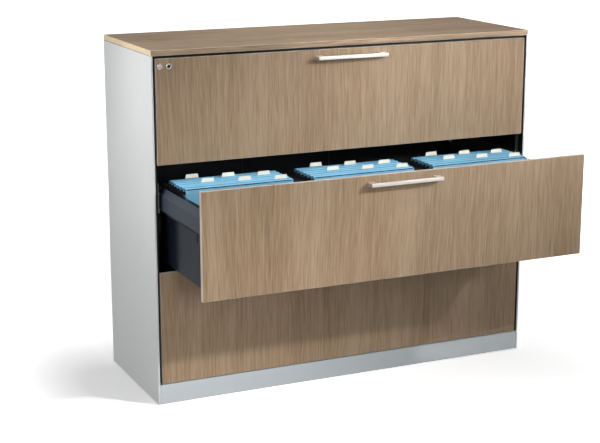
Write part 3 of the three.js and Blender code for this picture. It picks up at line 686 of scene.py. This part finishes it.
def about_y(low: Vector, high: Vector) -> tuple[Vector, Vector, Point, float]:
    """The corners of a box, with the axis point and the radius of what is turned about Y in it."""
    centre = ((low.x + high.x) / 2, 0.0, (low.z + high.z) / 2)
    return low, high, centre, (high.x - low.x) / 2


def put_in_scene(name: str, data: bpy.types.ID) -> bpy.types.Object:
    """Put a new object into the scene.

    Args:
        name: Its name.
        data: Its mesh, light or camera.

    Returns:
        The object.
    """
    made = bpy.data.objects.new(name, data)
    bpy.context.scene.collection.objects.link(made)
    return made


def turn_to(made: bpy.types.Object, direction: Vector) -> None:
    """Point a light or the camera in a direction."""
    made.rotation_mode = "QUATERNION"
    made.rotation_quaternion = direction.to_track_quat("-Z", "Y")


class Draft:
    """A mesh in the making: closed bodies, each with the finish of its faces."""

    SHARP = math.radians(24)
    CREASE = math.radians(40)
    SQUARE = 0.999

    def __init__(self) -> None:
        """Start with nothing."""
        self.mesh = bmesh.new()
        self.finishes: dict[Finish, int] = {}

    def _number(self, finish: Finish) -> int:
        """The material index of a finish."""
        return self.finishes.setdefault(finish, len(self.finishes))

    def _loop(self, outline: Sequence[Sequence[float]], along: Axis, end: float) -> list[bmesh.types.BMVert]:
        """The corners of an outline at one place along an axis."""
        split = along.value
        return [self.mesh.verts.new((*p[:split], end, *p[split:])) for p in outline]

    def _wall(
        self, first: list[bmesh.types.BMVert], second: list[bmesh.types.BMVert]
    ) -> list[bmesh.types.BMFace]:
        """Faces from one loop of corners to another."""
        corners = zip(first, first[1:] + first[:1], second[1:] + second[:1], second, strict=True)
        return [self.mesh.faces.new(four) for four in corners]

    def _close(self, faces: list[bmesh.types.BMFace], finish: Finish, radius: float = 0.0, steps: int = 2) -> None:
        """Point the faces of a new body outwards, give them their finish and round their sharp edges.

        Args:
            faces: The body's faces.
            finish: Its finish.
            radius: Rounding of its sharp edges, or 0.
            steps: Facets across the rounding.
        """
        bmesh.ops.recalc_face_normals(self.mesh, faces=faces)
        number = self._number(finish)
        for face in faces:
            face.material_index = number
        if radius > 0:
            edges = dict.fromkeys(e for f in faces for e in f.edges if e.calc_face_angle(0.0) > self.SHARP)
            bmesh.ops.bevel(
                self.mesh,
                geom=list(edges),
                offset=radius,
                offset_type="OFFSET",
                segments=steps,
                profile=0.5,
                affect="EDGES",
                clamp_overlap=True,
                material=-1,
            )

    def prism(
        self,
        outline: Outline,
        along: Axis,
        ends: tuple[float, float],
        finish: Finish,
        radius: float = 0.0,
        steps: int = 2,
    ) -> None:
        """Draw an outline out along an axis into a closed body.

        Args:
            outline: Points on the other two axes, in the order X, Y, Z.
            along: The axis.
            ends: Where the body starts and ends on it.
            finish: Its finish.
            radius: Rounding of its sharp edges.
            steps: Facets across the rounding.
        """
        first, second = (self._loop(outline, along, end) for end in ends)
        faces = [self.mesh.faces.new(first[::-1]), self.mesh.faces.new(second), *self._wall(first, second)]
        self._close(faces, finish, radius, steps)

    def sleeve(self, outline: Outline, wall: float, along: Axis, ends: tuple[float, float], finish: Finish) -> None:
        """Draw a closed outline out along an axis into an open-ended sleeve.

        Args:
            outline: Outer points on the other two axes, in the order X, Y, Z.
            wall: Thickness of the sheet, inwards.
            along: The axis.
            ends: Where the sleeve starts and ends on it.
            finish: Its finish.
        """
        points = [Vector(p) for p in outline]
        middle = sum(points, Vector((0.0, 0.0))) / len(points)
        inner = []
        for i, point in enumerate(points):
            run = points[(i + 1) % len(points)] - points[i - 1]
            inwards = Vector((-run.y, run.x)).normalized()
            if inwards.dot(middle - point) < 0:
                inwards.negate()
            inner.append(point + inwards * wall)
        (outside, inside), (outside_end, inside_end) = (
            [self._loop(loop, along, end) for loop in (points, inner)] for end in ends
        )
        faces = self._wall(outside, outside_end) + self._wall(inside_end, inside)
        faces += self._wall(inside, outside) + self._wall(outside_end, inside_end)
        self._close(faces, finish)

    def turned(self, profile: Outline, axis: Axis, centre: Point, finish: Finish, count: int) -> None:
        """Turn a profile about an axis into a closed body.

        Args:
            profile: (radius, place along the axis) points, from the axis to the axis or in a ring.
            axis: The axis.
            centre: A point on it, from which places along it count.
            finish: The body's finish.
            count: Facets round the axis.
        """
        rings = []
        for distance, along in profile:
            ring = []
            for k in range(count if distance > 0 else 1):
                turn = 2 * math.pi * k / count
                place = [distance * math.cos(turn), distance * math.sin(turn)]
                place.insert(axis.value, along)
                ring.append(self.mesh.verts.new(Vector(place) + Vector(centre)))
            rings.append(ring)
        closed = len(rings[0]) > 1
        faces = []
        for i in range(len(rings) if closed else len(rings) - 1):
            first, second = rings[i], rings[(i + 1) % len(rings)]
            for k in range(count):
                corners = [first[k % len(first)], first[(k + 1) % count % len(first)]]
                corners += [second[(k + 1) % count % len(second)], second[k % len(second)]]
                faces.append(self.mesh.faces.new(list(dict.fromkeys(corners))))
        self._close(faces, finish)

    def block(self, low: Point, high: Point, finish: Finish, radius: float = 0.0, steps: int = 2) -> None:
        """A block between two corners, with rounded edges."""
        outline = [(low[0], low[1]), (high[0], low[1]), (high[0], high[1]), (low[0], high[1])]
        self.prism(outline, Axis.Z, (low[2], high[2]), finish, radius, steps)

    def refinish(self, axis: Axis, finish: Finish) -> None:
        """Give the flat faces across one axis a finish of their own.

        Args:
            axis: The axis that they face.
            finish: Their finish.
        """
        number = self._number(finish)
        self.mesh.normal_update()
        for face in self.mesh.faces:
            if abs(face.normal[axis.value]) > self.SQUARE:
                face.material_index = number

    def piece(self, name: str, body: str, slot: str, *replaced: str) -> None:
        """Make the mesh a piece of the object.

        Args:
            name: The piece's name.
            body: The body that it rides on.
            slot: The record's material slot that it stands under; not used.
            replaced: Solids that it stands for.
        """
        mesh = bpy.data.meshes.new(name)
        self.mesh.normal_update()
        self.mesh.to_mesh(mesh)
        self.mesh.free()
        for finish in self.finishes:
            mesh.materials.append(finish.material())
        mesh.shade_smooth()
        mesh.set_sharp_from_angle(angle=self.CREASE)
        made = put_in_scene(name, mesh)
        made.modifiers.new("even_shading", "WEIGHTED_NORMAL").keep_sharp = True
        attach(made, body)
        if replaced:
            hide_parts(*replaced)
        LOG.info("%s rides on %s, %d faces", name, body, len(mesh.polygons))


WELD_REACH = 0.01 * MM
FOLD_ANGLE = math.radians(30)
FOLD_STEPS = 2


def dress_solid(name: str, finish: Finish, fold: float) -> None:
    """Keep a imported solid, with a finish and softly folded edges.

    Args:
        name: The solid's node.
        finish: Its finish.
        fold: Radius of its folds and edges, in metres.
    """
    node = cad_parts[name]
    node.data.materials.clear()
    node.data.materials.append(finish.material())
    node.modifiers.new("joined_corners", "WELD").merge_threshold = WELD_REACH
    bevel = node.modifiers.new("soft_folds", "BEVEL")
    bevel.width = fold
    bevel.segments = FOLD_STEPS
    bevel.limit_method = "ANGLE"
    bevel.angle_limit = FOLD_ANGLE
    node.modifiers.new("even_shading", "WEIGHTED_NORMAL")
    LOG.info("%s keeps its solid, finish %s", name, finish.name)


# Sub-assemblies


@dataclass
class Board:
    """A decor board with rounded edge bands, on a dark layer that is partly painted shade."""

    node: str
    body: str
    faces: Axis
    decor: WoodDecor
    band: EdgeBand
    shade_liner: float
    long_edges: WoodDecor | None = None
    liner_inset: float = 3 * MM
    liner_radius: float = 0.3 * MM
    edge_radius: float = 0.8 * MM
    edge_steps: int = 3

    def build(self) -> None:
        """Model the board over its solid."""
        low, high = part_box(self.node)
        inset = Vector((self.liner_inset,) * 3)
        liner_low, liner_high = low + inset, high - inset
        if self.faces is Axis.Y:
            liner_low.y, liner_high.y = high.y - self.shade_liner, high.y
            high.y = liner_low.y
        else:
            liner_low.z, liner_high.z = low.z, low.z + self.shade_liner
            low.z = liner_high.z
        draft = Draft()
        draft.block(low, high, self.band, self.edge_radius, self.edge_steps)
        draft.refinish(self.faces, self.decor)
        if self.long_edges:
            draft.refinish(Axis.Y, self.long_edges)
        # The dark layer: under the top board a painted shadow line along its lower edge; behind a front the steel
        # front, which also darkens the gaps round the front as painted shade
        draft.block(liner_low, liner_high, DARK_PAINT, self.liner_radius)
        draft.piece(f"{self.node}_decor", self.body, "wood_decor", self.node)


@dataclass
class BowHandle:
    """A satin bow handle: a flat bar with two feet."""

    level: Level
    bar: float = 8 * MM
    foot: float = 20 * MM
    outer_radius: float = 3 * MM
    inner_radius: float = 4 * MM
    bend_steps: int = 6
    edge_radius: float = 1.2 * MM
    edge_steps: int = 3

    def build(self) -> None:
        """Model the handle over its solid."""
        node = f"handle_{self.level.value}"
        low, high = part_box(node)
        left, right, front, back = low.x, high.x, low.y, high.y
        outer, inner, steps = self.outer_radius, self.inner_radius, self.bend_steps
        gap_left, gap_right, gap_front = left + self.foot, right - self.foot, front + self.bar
        outline = [(left, back)]
        outline += arc((left + outer, front + outer), outer, 180, 270, steps)
        outline += arc((right - outer, front + outer), outer, 270, 360, steps)
        outline += [(right, back), (gap_right, back)]
        outline += arc((gap_right - inner, gap_front + inner), inner, 0, -90, steps)
        outline += arc((gap_left + inner, gap_front + inner), inner, -90, -180, steps)
        outline += [(gap_left, back)]
        draft = Draft()
        draft.prism(outline, Axis.Z, (low.z, high.z), SATIN_NICKEL, self.edge_radius, self.edge_steps)
        draft.piece(f"{node}_bow", f"drawer_{self.level.value}", "handle_nickel", node)


@dataclass
class LockSet:
    """The cylinder lock in the top front, and the cover cap beside it."""

    rim: float = 0.7 * MM
    rim_steps: int = 4
    facets: int = 64
    face_recess: float = 0.5 * MM
    face_edge: float = 1.6
    plug_play: float = 0.2 * MM
    barrel_step: float = 1.5 * MM
    keyway_width: float = 1.6 * MM
    keyway_height: float = 6 * MM
    keyway_depth: float = 8 * MM
    keyway_recess: float = 0.2 * MM
    plug_facets: int = 24
    plug_edge: float = 0.25 * MM
    cap_dish: float = 0.35 * MM
    cap_edges: tuple[float, float] = (2.0, 1.4)
    inner_edge: float = 0.3 * MM

    def build(self) -> None:
        """Model the housing, the plug and the cap, and keep the pieces behind the front."""
        self._housing()
        self._plug()
        self._cap()
        for node in ("lock_nut", "lock_cam"):
            dress_solid(node, RUNNER_ZINC, self.inner_edge)

    def _round_rim(self, radius: float, front: float) -> Outline:
        """The rounded edge of a rosette or cap."""
        return [(radius - self.rim + r, y) for r, y in arc((0, front + self.rim), self.rim, -90, 0, self.rim_steps)]

    def _housing(self) -> None:
        """The rosette and barrel round the plug."""
        low, high, centre, rosette = about_y(*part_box("lock_body"))
        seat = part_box("front_top")[0].y
        bore = about_y(*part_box("lock_core"))[-1] + self.plug_play
        barrel = rosette - self.barrel_step
        profile = [(bore, low.y + self.face_recess), (bore + self.rim, low.y)]
        profile += [(rosette - self.face_edge * self.rim, low.y), *self._round_rim(rosette, low.y)]
        profile += [(rosette, seat), (barrel, seat), (barrel, high.y), (bore, high.y)]
        draft = Draft()
        draft.turned(profile, Axis.Y, centre, BRIGHT_NICKEL, self.facets)
        draft.piece("lock_rosette", "drawer_top", "lock_nickel", "lock_body")

    def _plug(self) -> None:
        """The turning plug with its keyway, its face dark all over as painted shade of the keyhole."""
        low, high, (x, _, z), radius = about_y(*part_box("lock_core"))
        half, reach, back = self.keyway_width / 2, self.keyway_height / 2, low.y + self.keyway_depth
        limit, rim = math.degrees(math.asin(half / radius)), math.sqrt(radius**2 - half**2)
        draft = Draft()
        for start in (90 + limit, -90 + limit):
            outline = arc((x, z), radius, start, start + 180 - 2 * limit, self.plug_facets)
            draft.prism(outline, Axis.Y, (low.y, back), KEYHOLE_SHADE, self.plug_edge)
        for sign in (-1, 1):
            bottom, top = sorted((z + sign * reach, z + sign * rim))
            draft.block((x - half, low.y + self.keyway_recess, bottom), (x + half, back, top), KEYHOLE_SHADE)
        tail = arc((x, z), radius, 0, 360, self.plug_facets)[:-1]
        draft.prism(tail, Axis.Y, (back, high.y), RUNNER_ZINC)
        draft.piece("lock_plug", "lock_core", "lock_nickel", "lock_core")

    def _cap(self) -> None:
        """The dished cover cap."""
        low, high, centre, radius = about_y(*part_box("cover_cap"))
        seat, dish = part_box("front_top")[0].y, low.y + self.cap_dish
        dish_edge, rim_edge = (radius - share * self.rim for share in self.cap_edges)
        profile = [(0.0, dish), (dish_edge, dish), (rim_edge, low.y), *self._round_rim(radius, low.y)]
        profile += [(radius, seat), (radius / 2, seat), (radius / 2, high.y), (0.0, high.y)]
        draft = Draft()
        draft.turned(profile, Axis.Y, centre, BRIGHT_NICKEL, self.facets)
        draft.piece("cover_cap_disc", "drawer_top", "lock_nickel", "cover_cap")


@dataclass
class FileRow:
    """A row of suspension files: card pockets, steel hangers with hook ends, index tabs and papers."""

    row: Row
    count: int = 6
    card: float = 0.7 * MM
    groove: float = 2.2 * MM
    sinking: float = 0.7
    drift: float = 0.8
    fold_half: float = 1.2 * MM
    belly_rise: float = 30 * MM
    belly_shares: tuple[float, float] = (0.55, 0.92)
    shoulder_drop: float = 14 * MM
    shoulder_bulge: float = 0.4 * MM
    top_radius: float = 2.4 * MM
    top_turn: float = 80.0
    top_steps: int = 4
    crown: float = 2.4 * MM
    hook_reach: float = 16 * MM
    hook_drop: float = 19.7 * MM
    hanger: float = 1.6 * MM
    hanger_overlap: float = 30 * MM
    steel_edge: float = 0.3 * MM
    rail_height: float = 2.2 * MM
    rail_proud: float = 0.8 * MM
    rail_inset: float = 3 * MM
    tab_halves: tuple[float, float] = (20 * MM, 17 * MM)
    tab_height: float = 12 * MM
    tab_setback: float = 3 * MM
    tab_sink: float = 1 * MM
    tab_spread: float = 100 * MM
    tab_shifts: tuple[float, float] = (8 * MM, 30 * MM)
    tab_dip: float = 1.5 * MM
    tab_wall: float = 1.2 * MM
    tab_edge: float = 0.4 * MM
    tabs_across: int = 3
    label_inset: float = 2.6 * MM
    label_ends: tuple[float, float] = (-0.25 * MM, 0.2 * MM)
    label_edge: float = 0.1 * MM
    paper_inset: float = 9 * MM
    paper_rise: float = 12 * MM
    paper_halves: tuple[float, float] = (1.5 * MM, 6.5 * MM)
    paper_edge: float = 0.5 * MM
    # A hook's outline in millimetres, from its outer end and the rail that it sits on, between its inner corners
    HOOK = ((-13, 3), (-11, 5), (-9, 0), (-3, 0), (0, 3), (-1, 9), (-4, 10), (-9, 8))
    HOOK_ROOT = (3, 9)

    def build(self) -> None:
        """Model the row over its solid, one piece for each kind of part."""
        row = self.row.value
        node = f"hanging_files_{row}"
        self.low, self.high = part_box(node)
        self.middle = (self.low.x + self.high.x) / 2
        self.top = self.high.z - self.tab_height
        self.pitch = (self.high.y - self.low.y) / self.count
        self.half = (self.high.x - self.low.x) / 2 - self.hook_reach
        chance = random.Random(f"settling of {row}")
        pockets, hangers, tabs, papers = Draft(), Draft(), Draft(), Draft()
        for i in range(self.count):
            back = self.high.y - i * self.pitch
            top = self.top - chance.uniform(0.0, self.sinking) * MM
            middle = self.middle + chance.uniform(-self.drift, self.drift) * MM
            self._pocket(pockets, back, top, middle)
            self._papers(papers, back, middle)
            self._rail(hangers, back, top, middle)
            for front in (self.groove + self.card - self.pitch, -self.groove - self.card - self.hanger):
                self._hanger(hangers, back + front)
            across = (i % self.tabs_across) - (self.tabs_across - 1) / 2
            place = across * self.tab_spread + self.tab_shifts[i // self.tabs_across]
            self._tab(tabs, middle + place, back, top)
        pockets.piece(f"file_pockets_{row}", "drawer_middle", "folder_card", node)
        hangers.piece(f"file_hangers_{row}", "drawer_middle", "runner_steel")
        tabs.piece(f"index_tabs_{row}", "drawer_middle", "folder_card")
        papers.piece(f"file_papers_{row}", "drawer_middle", "folder_card")

    def _pocket(self, draft: Draft, back: float, top: float, middle: float) -> None:
        """One folded card pocket with a crowned top.

        Args:
            draft: The row's pockets.
            back: The file's rear limit.
            top: Its highest place.
            middle: Its middle across the drawer.
        """
        centre, bottom = back - self.pitch / 2, self.low.z
        half, shoulder, radius = (self.pitch - self.groove) / 2, top - self.shoulder_drop, self.top_radius
        low_share, high_share = self.belly_shares
        rear = [(self.fold_half, bottom), (low_share * half, bottom + self.belly_rise)]
        rear += [(high_share * half, (bottom + shoulder) / 2), (half + self.shoulder_bulge, shoulder)]
        rear += arc((half - radius, top - self.crown - radius), radius, 0, self.top_turn, self.top_steps)
        outline = [(centre + y, z) for y, z in rear] + [(centre, top)]
        outline += [(centre - y, z) for y, z in reversed(rear)]
        draft.sleeve(outline, self.card, Axis.X, (middle - self.half, middle + self.half), BLUE_CARD)

    def _papers(self, draft: Draft, back: float, middle: float) -> None:
        """A sheaf of papers in a pocket, thinner at the bottom.

        Args:
            draft: The row's papers.
            back: The file's rear limit.
            middle: Its middle across the drawer.
        """
        bottom, top = self.low.z + self.paper_rise, self.top - 2 * self.shoulder_drop
        outline = trapezoid(back - self.pitch / 2, self.paper_halves, bottom, top)
        reach = self.half - self.paper_inset
        draft.prism(outline, Axis.X, (middle - reach, middle + reach), SHEET_PAPER, self.paper_edge)

    def _hanger(self, draft: Draft, front: float) -> None:
        """A flat steel hanger whose notched ends sit on the hanging rails.

        Args:
            draft: The row's hangers.
            front: The hanger's front face.
        """
        seat, outer, inner = self.top - self.hook_drop, self.half + self.hook_reach, self.half - self.hanger_overlap
        end = [(outer + x * MM, seat + z * MM) for x, z in self.HOOK]
        root_low, root_high = ((inner, seat + z * MM) for z in self.HOOK_ROOT)
        for sign in (-1, 1):
            outline = [(self.middle + sign * x, z) for x, z in (root_low, *end, root_high)]
            draft.prism(outline, Axis.Y, (front, front + self.hanger), HANGER_STEEL, self.steel_edge)

    def _rail(self, draft: Draft, back: float, top: float, middle: float) -> None:
        """The steel rail that shows along the front of a file's top.

        Args:
            draft: The row's hangers.
            back: The file's rear limit.
            top: Its highest place.
            middle: Its middle across the drawer.
        """
        face, edge = back - self.pitch + self.groove / 2, top - self.crown
        reach = self.half - self.rail_inset
        low = (middle - reach, face - self.rail_proud, edge - self.rail_height)
        draft.block(low, (middle + reach, face + self.rail_proud, edge), HANGER_STEEL, self.steel_edge)

    def _tab(self, draft: Draft, x: float, back: float, top: float) -> None:
        """An index tab: a moulded holder that grips the card, with a label in it.

        Args:
            draft: The row's tabs.
            x: Its middle.
            back: The file's rear limit.
            top: The file's highest place.
        """
        low, high, inset = top - self.tab_sink, top + self.tab_height - self.tab_dip, self.label_inset
        rear = back - self.tab_setback
        face = rear - self.tab_wall
        holder = trapezoid(x, self.tab_halves, low, high)
        draft.prism(holder, Axis.Y, (face, rear), TAB_PLASTIC, self.tab_edge)
        wide, narrow = self.tab_halves
        label = trapezoid(x, (wide - inset, narrow - inset), low + inset, high - inset)
        front, end = self.label_ends
        draft.prism(label, Axis.Y, (face + front, face + end), LABEL_PAPER, self.label_edge)


@dataclass
class TrayShadowStrips:
    """Near-black strips on a tray's flanks: under each runner band a strip that is a painted shadow line of the band,
    and near the front a short upright block that is painted shade of a notch.
    """

    level: Level
    proud: float = 1.1 * MM
    edge: float = 0.4 * MM
    strip_height: float = 5 * MM
    strip_drop: float = 8.5 * MM
    end_gap: float = 6 * MM
    notch_width: float = 5 * MM
    notch_height: float = 22 * MM
    notch_setback: float = 80 * MM

    def build(self) -> None:
        """Model the painted shadow strips and notch blocks of one tray."""
        level = self.level.value
        low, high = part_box(f"tray_{level}")
        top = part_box(f"drawer_rail_{level}_left")[0].z - self.strip_drop
        bottom = top - self.strip_height
        strip, shaded_notch = (low.y + self.end_gap, high.y - self.end_gap), low.y + self.notch_setback
        draft = Draft()
        for inner, outer in ((low.x - self.proud, low.x), (high.x, high.x + self.proud)):
            draft.block((inner, strip[0], bottom), (outer, strip[1], top), SHADOW_BLACK, self.edge)
            notch_low = (inner, shaded_notch, bottom - self.notch_height)
            draft.block(notch_low, (outer, shaded_notch + self.notch_width, bottom), SHADOW_BLACK, self.edge)
        draft.piece(f"tray_painted_shadows_{level}", f"drawer_{level}", "foot_plastic")


@dataclass
class Drawer:
    """A drawer: front, handle, tray, dividers and the runner members that slide with it."""

    level: Level
    # Dark steel front behind the decor, which also darkens the gaps round the front as painted shade
    shade_liner: float = 4.5 * MM
    tray_fold: float = 0.5 * MM
    band_fold: float = 0.8 * MM
    runner_fold: float = 0.6 * MM

    def build(self) -> None:
        """Model the front and the handle, and keep the folded pieces."""
        level = self.level.value
        Board(f"front_{level}", f"drawer_{level}", Axis.Y, UPRIGHT_WOOD, UPRIGHT_BAND, self.shade_liner).build()
        BowHandle(self.level).build()
        dress_solid(f"tray_{level}", TRAY_PAINT, self.tray_fold)
        for side in Side:
            dress_solid(f"divider_{level}_{side.value}", DARK_PAINT, self.tray_fold)
            dress_solid(f"drawer_rail_{level}_{side.value}", RAIL_PAINT, self.band_fold)
            dress_solid(f"mid_rail_{level}_{side.value}", RUNNER_ZINC, self.runner_fold)
        TrayShadowStrips(self.level).build()
        if self.level is Level.MIDDLE:
            for row in Row:
                FileRow(row).build()
        if self.level is Level.TOP:
            LockSet().build()


@dataclass
class Feet:
    """The four levelling feet under the base."""

    pad_height: float = 8 * MM
    pad_facets: int = 48
    rim: float = 2 * MM
    rim_steps: int = 4
    collar_radius: float = 8 * MM
    collar_top: float = 14.5 * MM
    collar_edge: float = 0.4 * MM
    stem_radius: float = 5 * MM
    stem_facets: int = 24
    thread_pitch: float = 1.5 * MM
    thread_depth: float = 0.8 * MM

    def build(self) -> None:
        """Model each foot over its solid: a moulded pad, a hexagon collar and a threaded stem."""
        for end in ("front", "rear"):
            for side in Side:
                self._foot(f"foot_{end}_{side.value}")

    def _foot(self, node: str) -> None:
        """One foot.

        Args:
            node: The solid that it stands for.
        """
        low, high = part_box(node)
        centre = ((low.x + high.x) / 2, (low.y + high.y) / 2, low.z)
        edge, height, rim = (high.x - low.x) / 2 - self.rim, high.z - low.z, self.rim
        pad = [(0.0, 0.0), (edge, 0.0)]
        pad += arc((edge, rim), rim, -90, 0, self.rim_steps)
        pad += arc((edge, self.pad_height - rim), rim, 0, 90, self.rim_steps)
        pad += [(0.0, self.pad_height)]
        draft = Draft()
        draft.turned(pad, Axis.Z, centre, FOOT_PLASTIC, self.pad_facets)
        hexagon = arc(centre[:2], self.collar_radius, 0, 300, 5)
        draft.prism(hexagon, Axis.Z, (self.pad_height, self.collar_top), RUNNER_ZINC, self.collar_edge)
        root = self.stem_radius - self.thread_depth
        thread = [(0.0, self.collar_top)]
        for i in range(int((height - self.collar_top) / self.thread_pitch)):
            base = self.collar_top + i * self.thread_pitch
            thread += [(root, base), (self.stem_radius, base + self.thread_pitch / 2)]
        thread += [(root, height), (0.0, height)]
        draft.turned(thread, Axis.Z, centre, RUNNER_ZINC, self.stem_facets)
        draft.piece(f"{node}_pad", "cabinet", "foot_plastic", node)


@dataclass
class BackRivets:
    """Blind rivets that hold the back panel to the carcass."""

    head_radius: float = 4 * MM
    head_height: float = 0.9 * MM
    facets: int = 20
    edge: float = 11 * MM
    across: int = 7
    up: int = 6
    # A head's outline, as shares of its radius and height
    DOME = ((0.0, 0.0), (1.0, 0.0), (0.94, 0.45), (0.7, 0.85), (0.35, 1.0), (0.25, 0.55), (0.0, 0.5))

    def build(self) -> None:
        """Set the rivets round the panel's edge, as one piece."""
        low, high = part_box("back_panel")
        left, right = low.x + self.edge, high.x - self.edge
        bottom, top = low.z + self.edge, high.z - self.edge
        places = []
        for i in range(self.across):
            x = left + (right - left) * i / (self.across - 1)
            places += [(x, bottom), (x, top)]
        for i in range(1, self.up - 1):
            z = bottom + (top - bottom) * i / (self.up - 1)
            places += [(left, z), (right, z)]
        dome = [(r * self.head_radius, y * self.head_height) for r, y in self.DOME]
        draft = Draft()
        for x, z in places:
            draft.turned(dome, Axis.Y, (x, high.y, z), RUNNER_ZINC, self.facets)
        draft.piece("back_rivets", "cabinet", "runner_steel")


@dataclass
class Carcass:
    """The fixed body: panels, uprights, runner members, board, plinth and feet."""

    # Dark layer under the top board: a painted shadow line along its lower edge
    shade_liner: float = 0.6 * MM
    flank_fold: float = 0.9 * MM
    panel_fold: float = 0.7 * MM
    channel_fold: float = 0.6 * MM
    inner_fold: float = 0.5 * MM
    bar_fold: float = 0.4 * MM

    def build(self) -> None:
        """Model the board, feet and rivets, and keep the folded pieces."""
        Board("top_board", "cabinet", Axis.Z, LENGTHWISE_WOOD, LENGTHWISE_BAND, self.shade_liner, EDGE_WOOD).build()
        dress_solid("left_side", LEFT_PAINT, self.flank_fold)
        dress_solid("right_side", RIGHT_PAINT, self.flank_fold)
        dress_solid("back_panel", BACK_PAINT, self.panel_fold)
        dress_solid("plinth", LIGHT_PAINT, self.panel_fold)
        for side in Side:
            for end in ("front", "rear"):
                dress_solid(f"{end}_upright_{side.value}", DARK_PAINT, self.channel_fold)
            for level in Level:
                dress_solid(f"fixed_rail_{level.value}_{side.value}", RUNNER_ZINC, self.channel_fold)
        for name in ("base_panel", "top_panel", "rear_base_rail"):
            dress_solid(name, DARK_PAINT, self.inner_fold)
        dress_solid("locking_bar", RUNNER_ZINC, self.bar_fold)
        Feet().build()
        BackRivets().build()


# Studio


@dataclass(frozen=True)
class Softbox:
    """A rectangular studio light."""

    name: str
    place: Point
    target: Point
    size: tuple[float, float]
    watts: float
    beam: float = 180.0

    def build(self) -> None:
        """Set up the light."""
        data = bpy.data.lights.new(self.name, "AREA")
        data.shape = "RECTANGLE"
        data.size, data.size_y = self.size
        data.energy = self.watts
        data.spread = math.radians(self.beam)
        made = put_in_scene(self.name, data)
        made.location = self.place
        turn_to(made, Vector(self.target) - Vector(self.place))


KEY, BEAM = (2.53, -3.03, 2.61), (1.2, -3.0, 1.8)
LIGHTS = (
    Softbox("key_low", KEY, (-0.6, -0.03, 0.1), (0.2, 0.2), 2.85, 25.0),
    Softbox("key_spot", KEY, (0.0, -0.03, 0.95), (0.2, 0.2), 0.3, 10.0),
    Softbox("front", (1.0, -2.6, 2.4), (-0.15, -0.1, 0.5), (1.0, 1.0), 16.5),
    Softbox("right_beam", BEAM, (0.5, 0.0, 0.95), (0.5, 0.5), 1.5, 25.0),
    Softbox("corner_beam", BEAM, (0.8, 0.0, 1.0), (0.4, 0.4), 0.55, 12.0),
    Softbox("low_beam", (-1.0, -3.5, 1.2), (-0.6, -0.1, 0.3), (0.7, 0.7), 1.2, 30.0),
    Softbox("left_beam", (-2.2, -0.3, 1.9), (-0.6, 0.0, 0.9), (0.5, 0.5), 1.45, 35.0),
    Softbox("left_wide", (-3.0, 0.2, 1.2), (-0.6, 0.1, 0.5), (1.6, 1.6), 20.0),
    Softbox("top_beam", (0.1, 0.15, 2.7), (0.1, 0.28, 1.0), (0.6, 0.6), 0.75, 40.0),
    Softbox("low_strip", (0.6, -1.7, 0.03), (0.6, -0.03, 0.03), (0.7, 0.03), 0.05, 4.0),
    Softbox("floor_card", (0.95, -2.7, 0.22), (0.1, -0.1, 0.75), (1.4, 0.45), 1.5),
    Softbox("right_fill", (3.0, 0.5, 0.45), (0.6, 0.1, 0.5), (1.4, 0.8), 10.0),
    Softbox("back_fill", (0.5, 3.2, 0.45), (0.0, 0.4, 0.5), (1.8, 0.8), 12.0),
)


@dataclass
class Studio:
    """A pale floor, soft light and the camera."""

    camera_place: Point = (-1.8851, -3.7819, 1.5084)
    camera_yaw: float = 24.723
    camera_pitch: float = -13.817
    lens: float = 88.3
    sensor: float = 36.0
    floor_half: float = 30.0
    floor_middle: Point = (-0.66, 0.18, 0.0)
    ambient: float = 0.4

    def build(self) -> None:
        """Set up everything round the object."""
        self._floor()
        self._world()
        for light in LIGHTS:
            light.build()
        self._camera()
        view = bpy.context.scene.view_settings
        view.view_transform, view.look = "Standard", "None"

    def _floor(self) -> None:
        """Lay the floor."""
        half = self.floor_half
        mesh = bpy.data.meshes.new("studio_floor")
        corners = [(-half, -half, 0.0), (half, -half, 0.0), (half, half, 0.0), (-half, half, 0.0)]
        mesh.from_pydata(corners, [], [(0, 1, 2, 3)])
        mesh.materials.append(FLOOR.material())
        floor = put_in_scene("studio_floor", mesh)
        floor.location = self.floor_middle

    def _world(self) -> None:
        """A white surround that lights softly and shows white."""
        world = bpy.data.worlds.new("studio_white")
        world.use_nodes = True
        world.node_tree.nodes.clear()
        graph = Graph(world.node_tree)
        lit, shown = (
            graph.add("ShaderNodeBackground", {"Color": WHITE, "Strength": strength}).outputs[0]
            for strength in (self.ambient, 1.0)
        )
        seen = graph.add("ShaderNodeLightPath").outputs["Is Camera Ray"]
        both = graph.add("ShaderNodeMixShader", {0: seen, 1: lit, 2: shown}).outputs[0]
        graph.add("ShaderNodeOutputWorld", {"Surface": both})
        bpy.context.scene.world = world

    def _camera(self) -> None:
        """Set the camera where the photograph was taken from."""
        data = bpy.data.cameras.new("camera")
        data.lens = self.lens
        data.sensor_width = self.sensor
        made = put_in_scene("camera", data)
        made.location = self.camera_place
        yaw, pitch = math.radians(self.camera_yaw), math.radians(self.camera_pitch)
        level = math.cos(pitch)
        turn_to(made, Vector((math.sin(yaw) * level, math.cos(yaw) * level, math.sin(pitch))))
        bpy.context.scene.camera = made


def main() -> None:
    """Dress the cabinet, sub-assembly by sub-assembly, and set up the studio."""
    logging.basicConfig(level=logging.INFO, format="%(name)s: %(message)s")
    Studio().build()
    Carcass().build()
    for level in Level:
        Drawer(level).build()


if __name__ == "__main__":
    main()
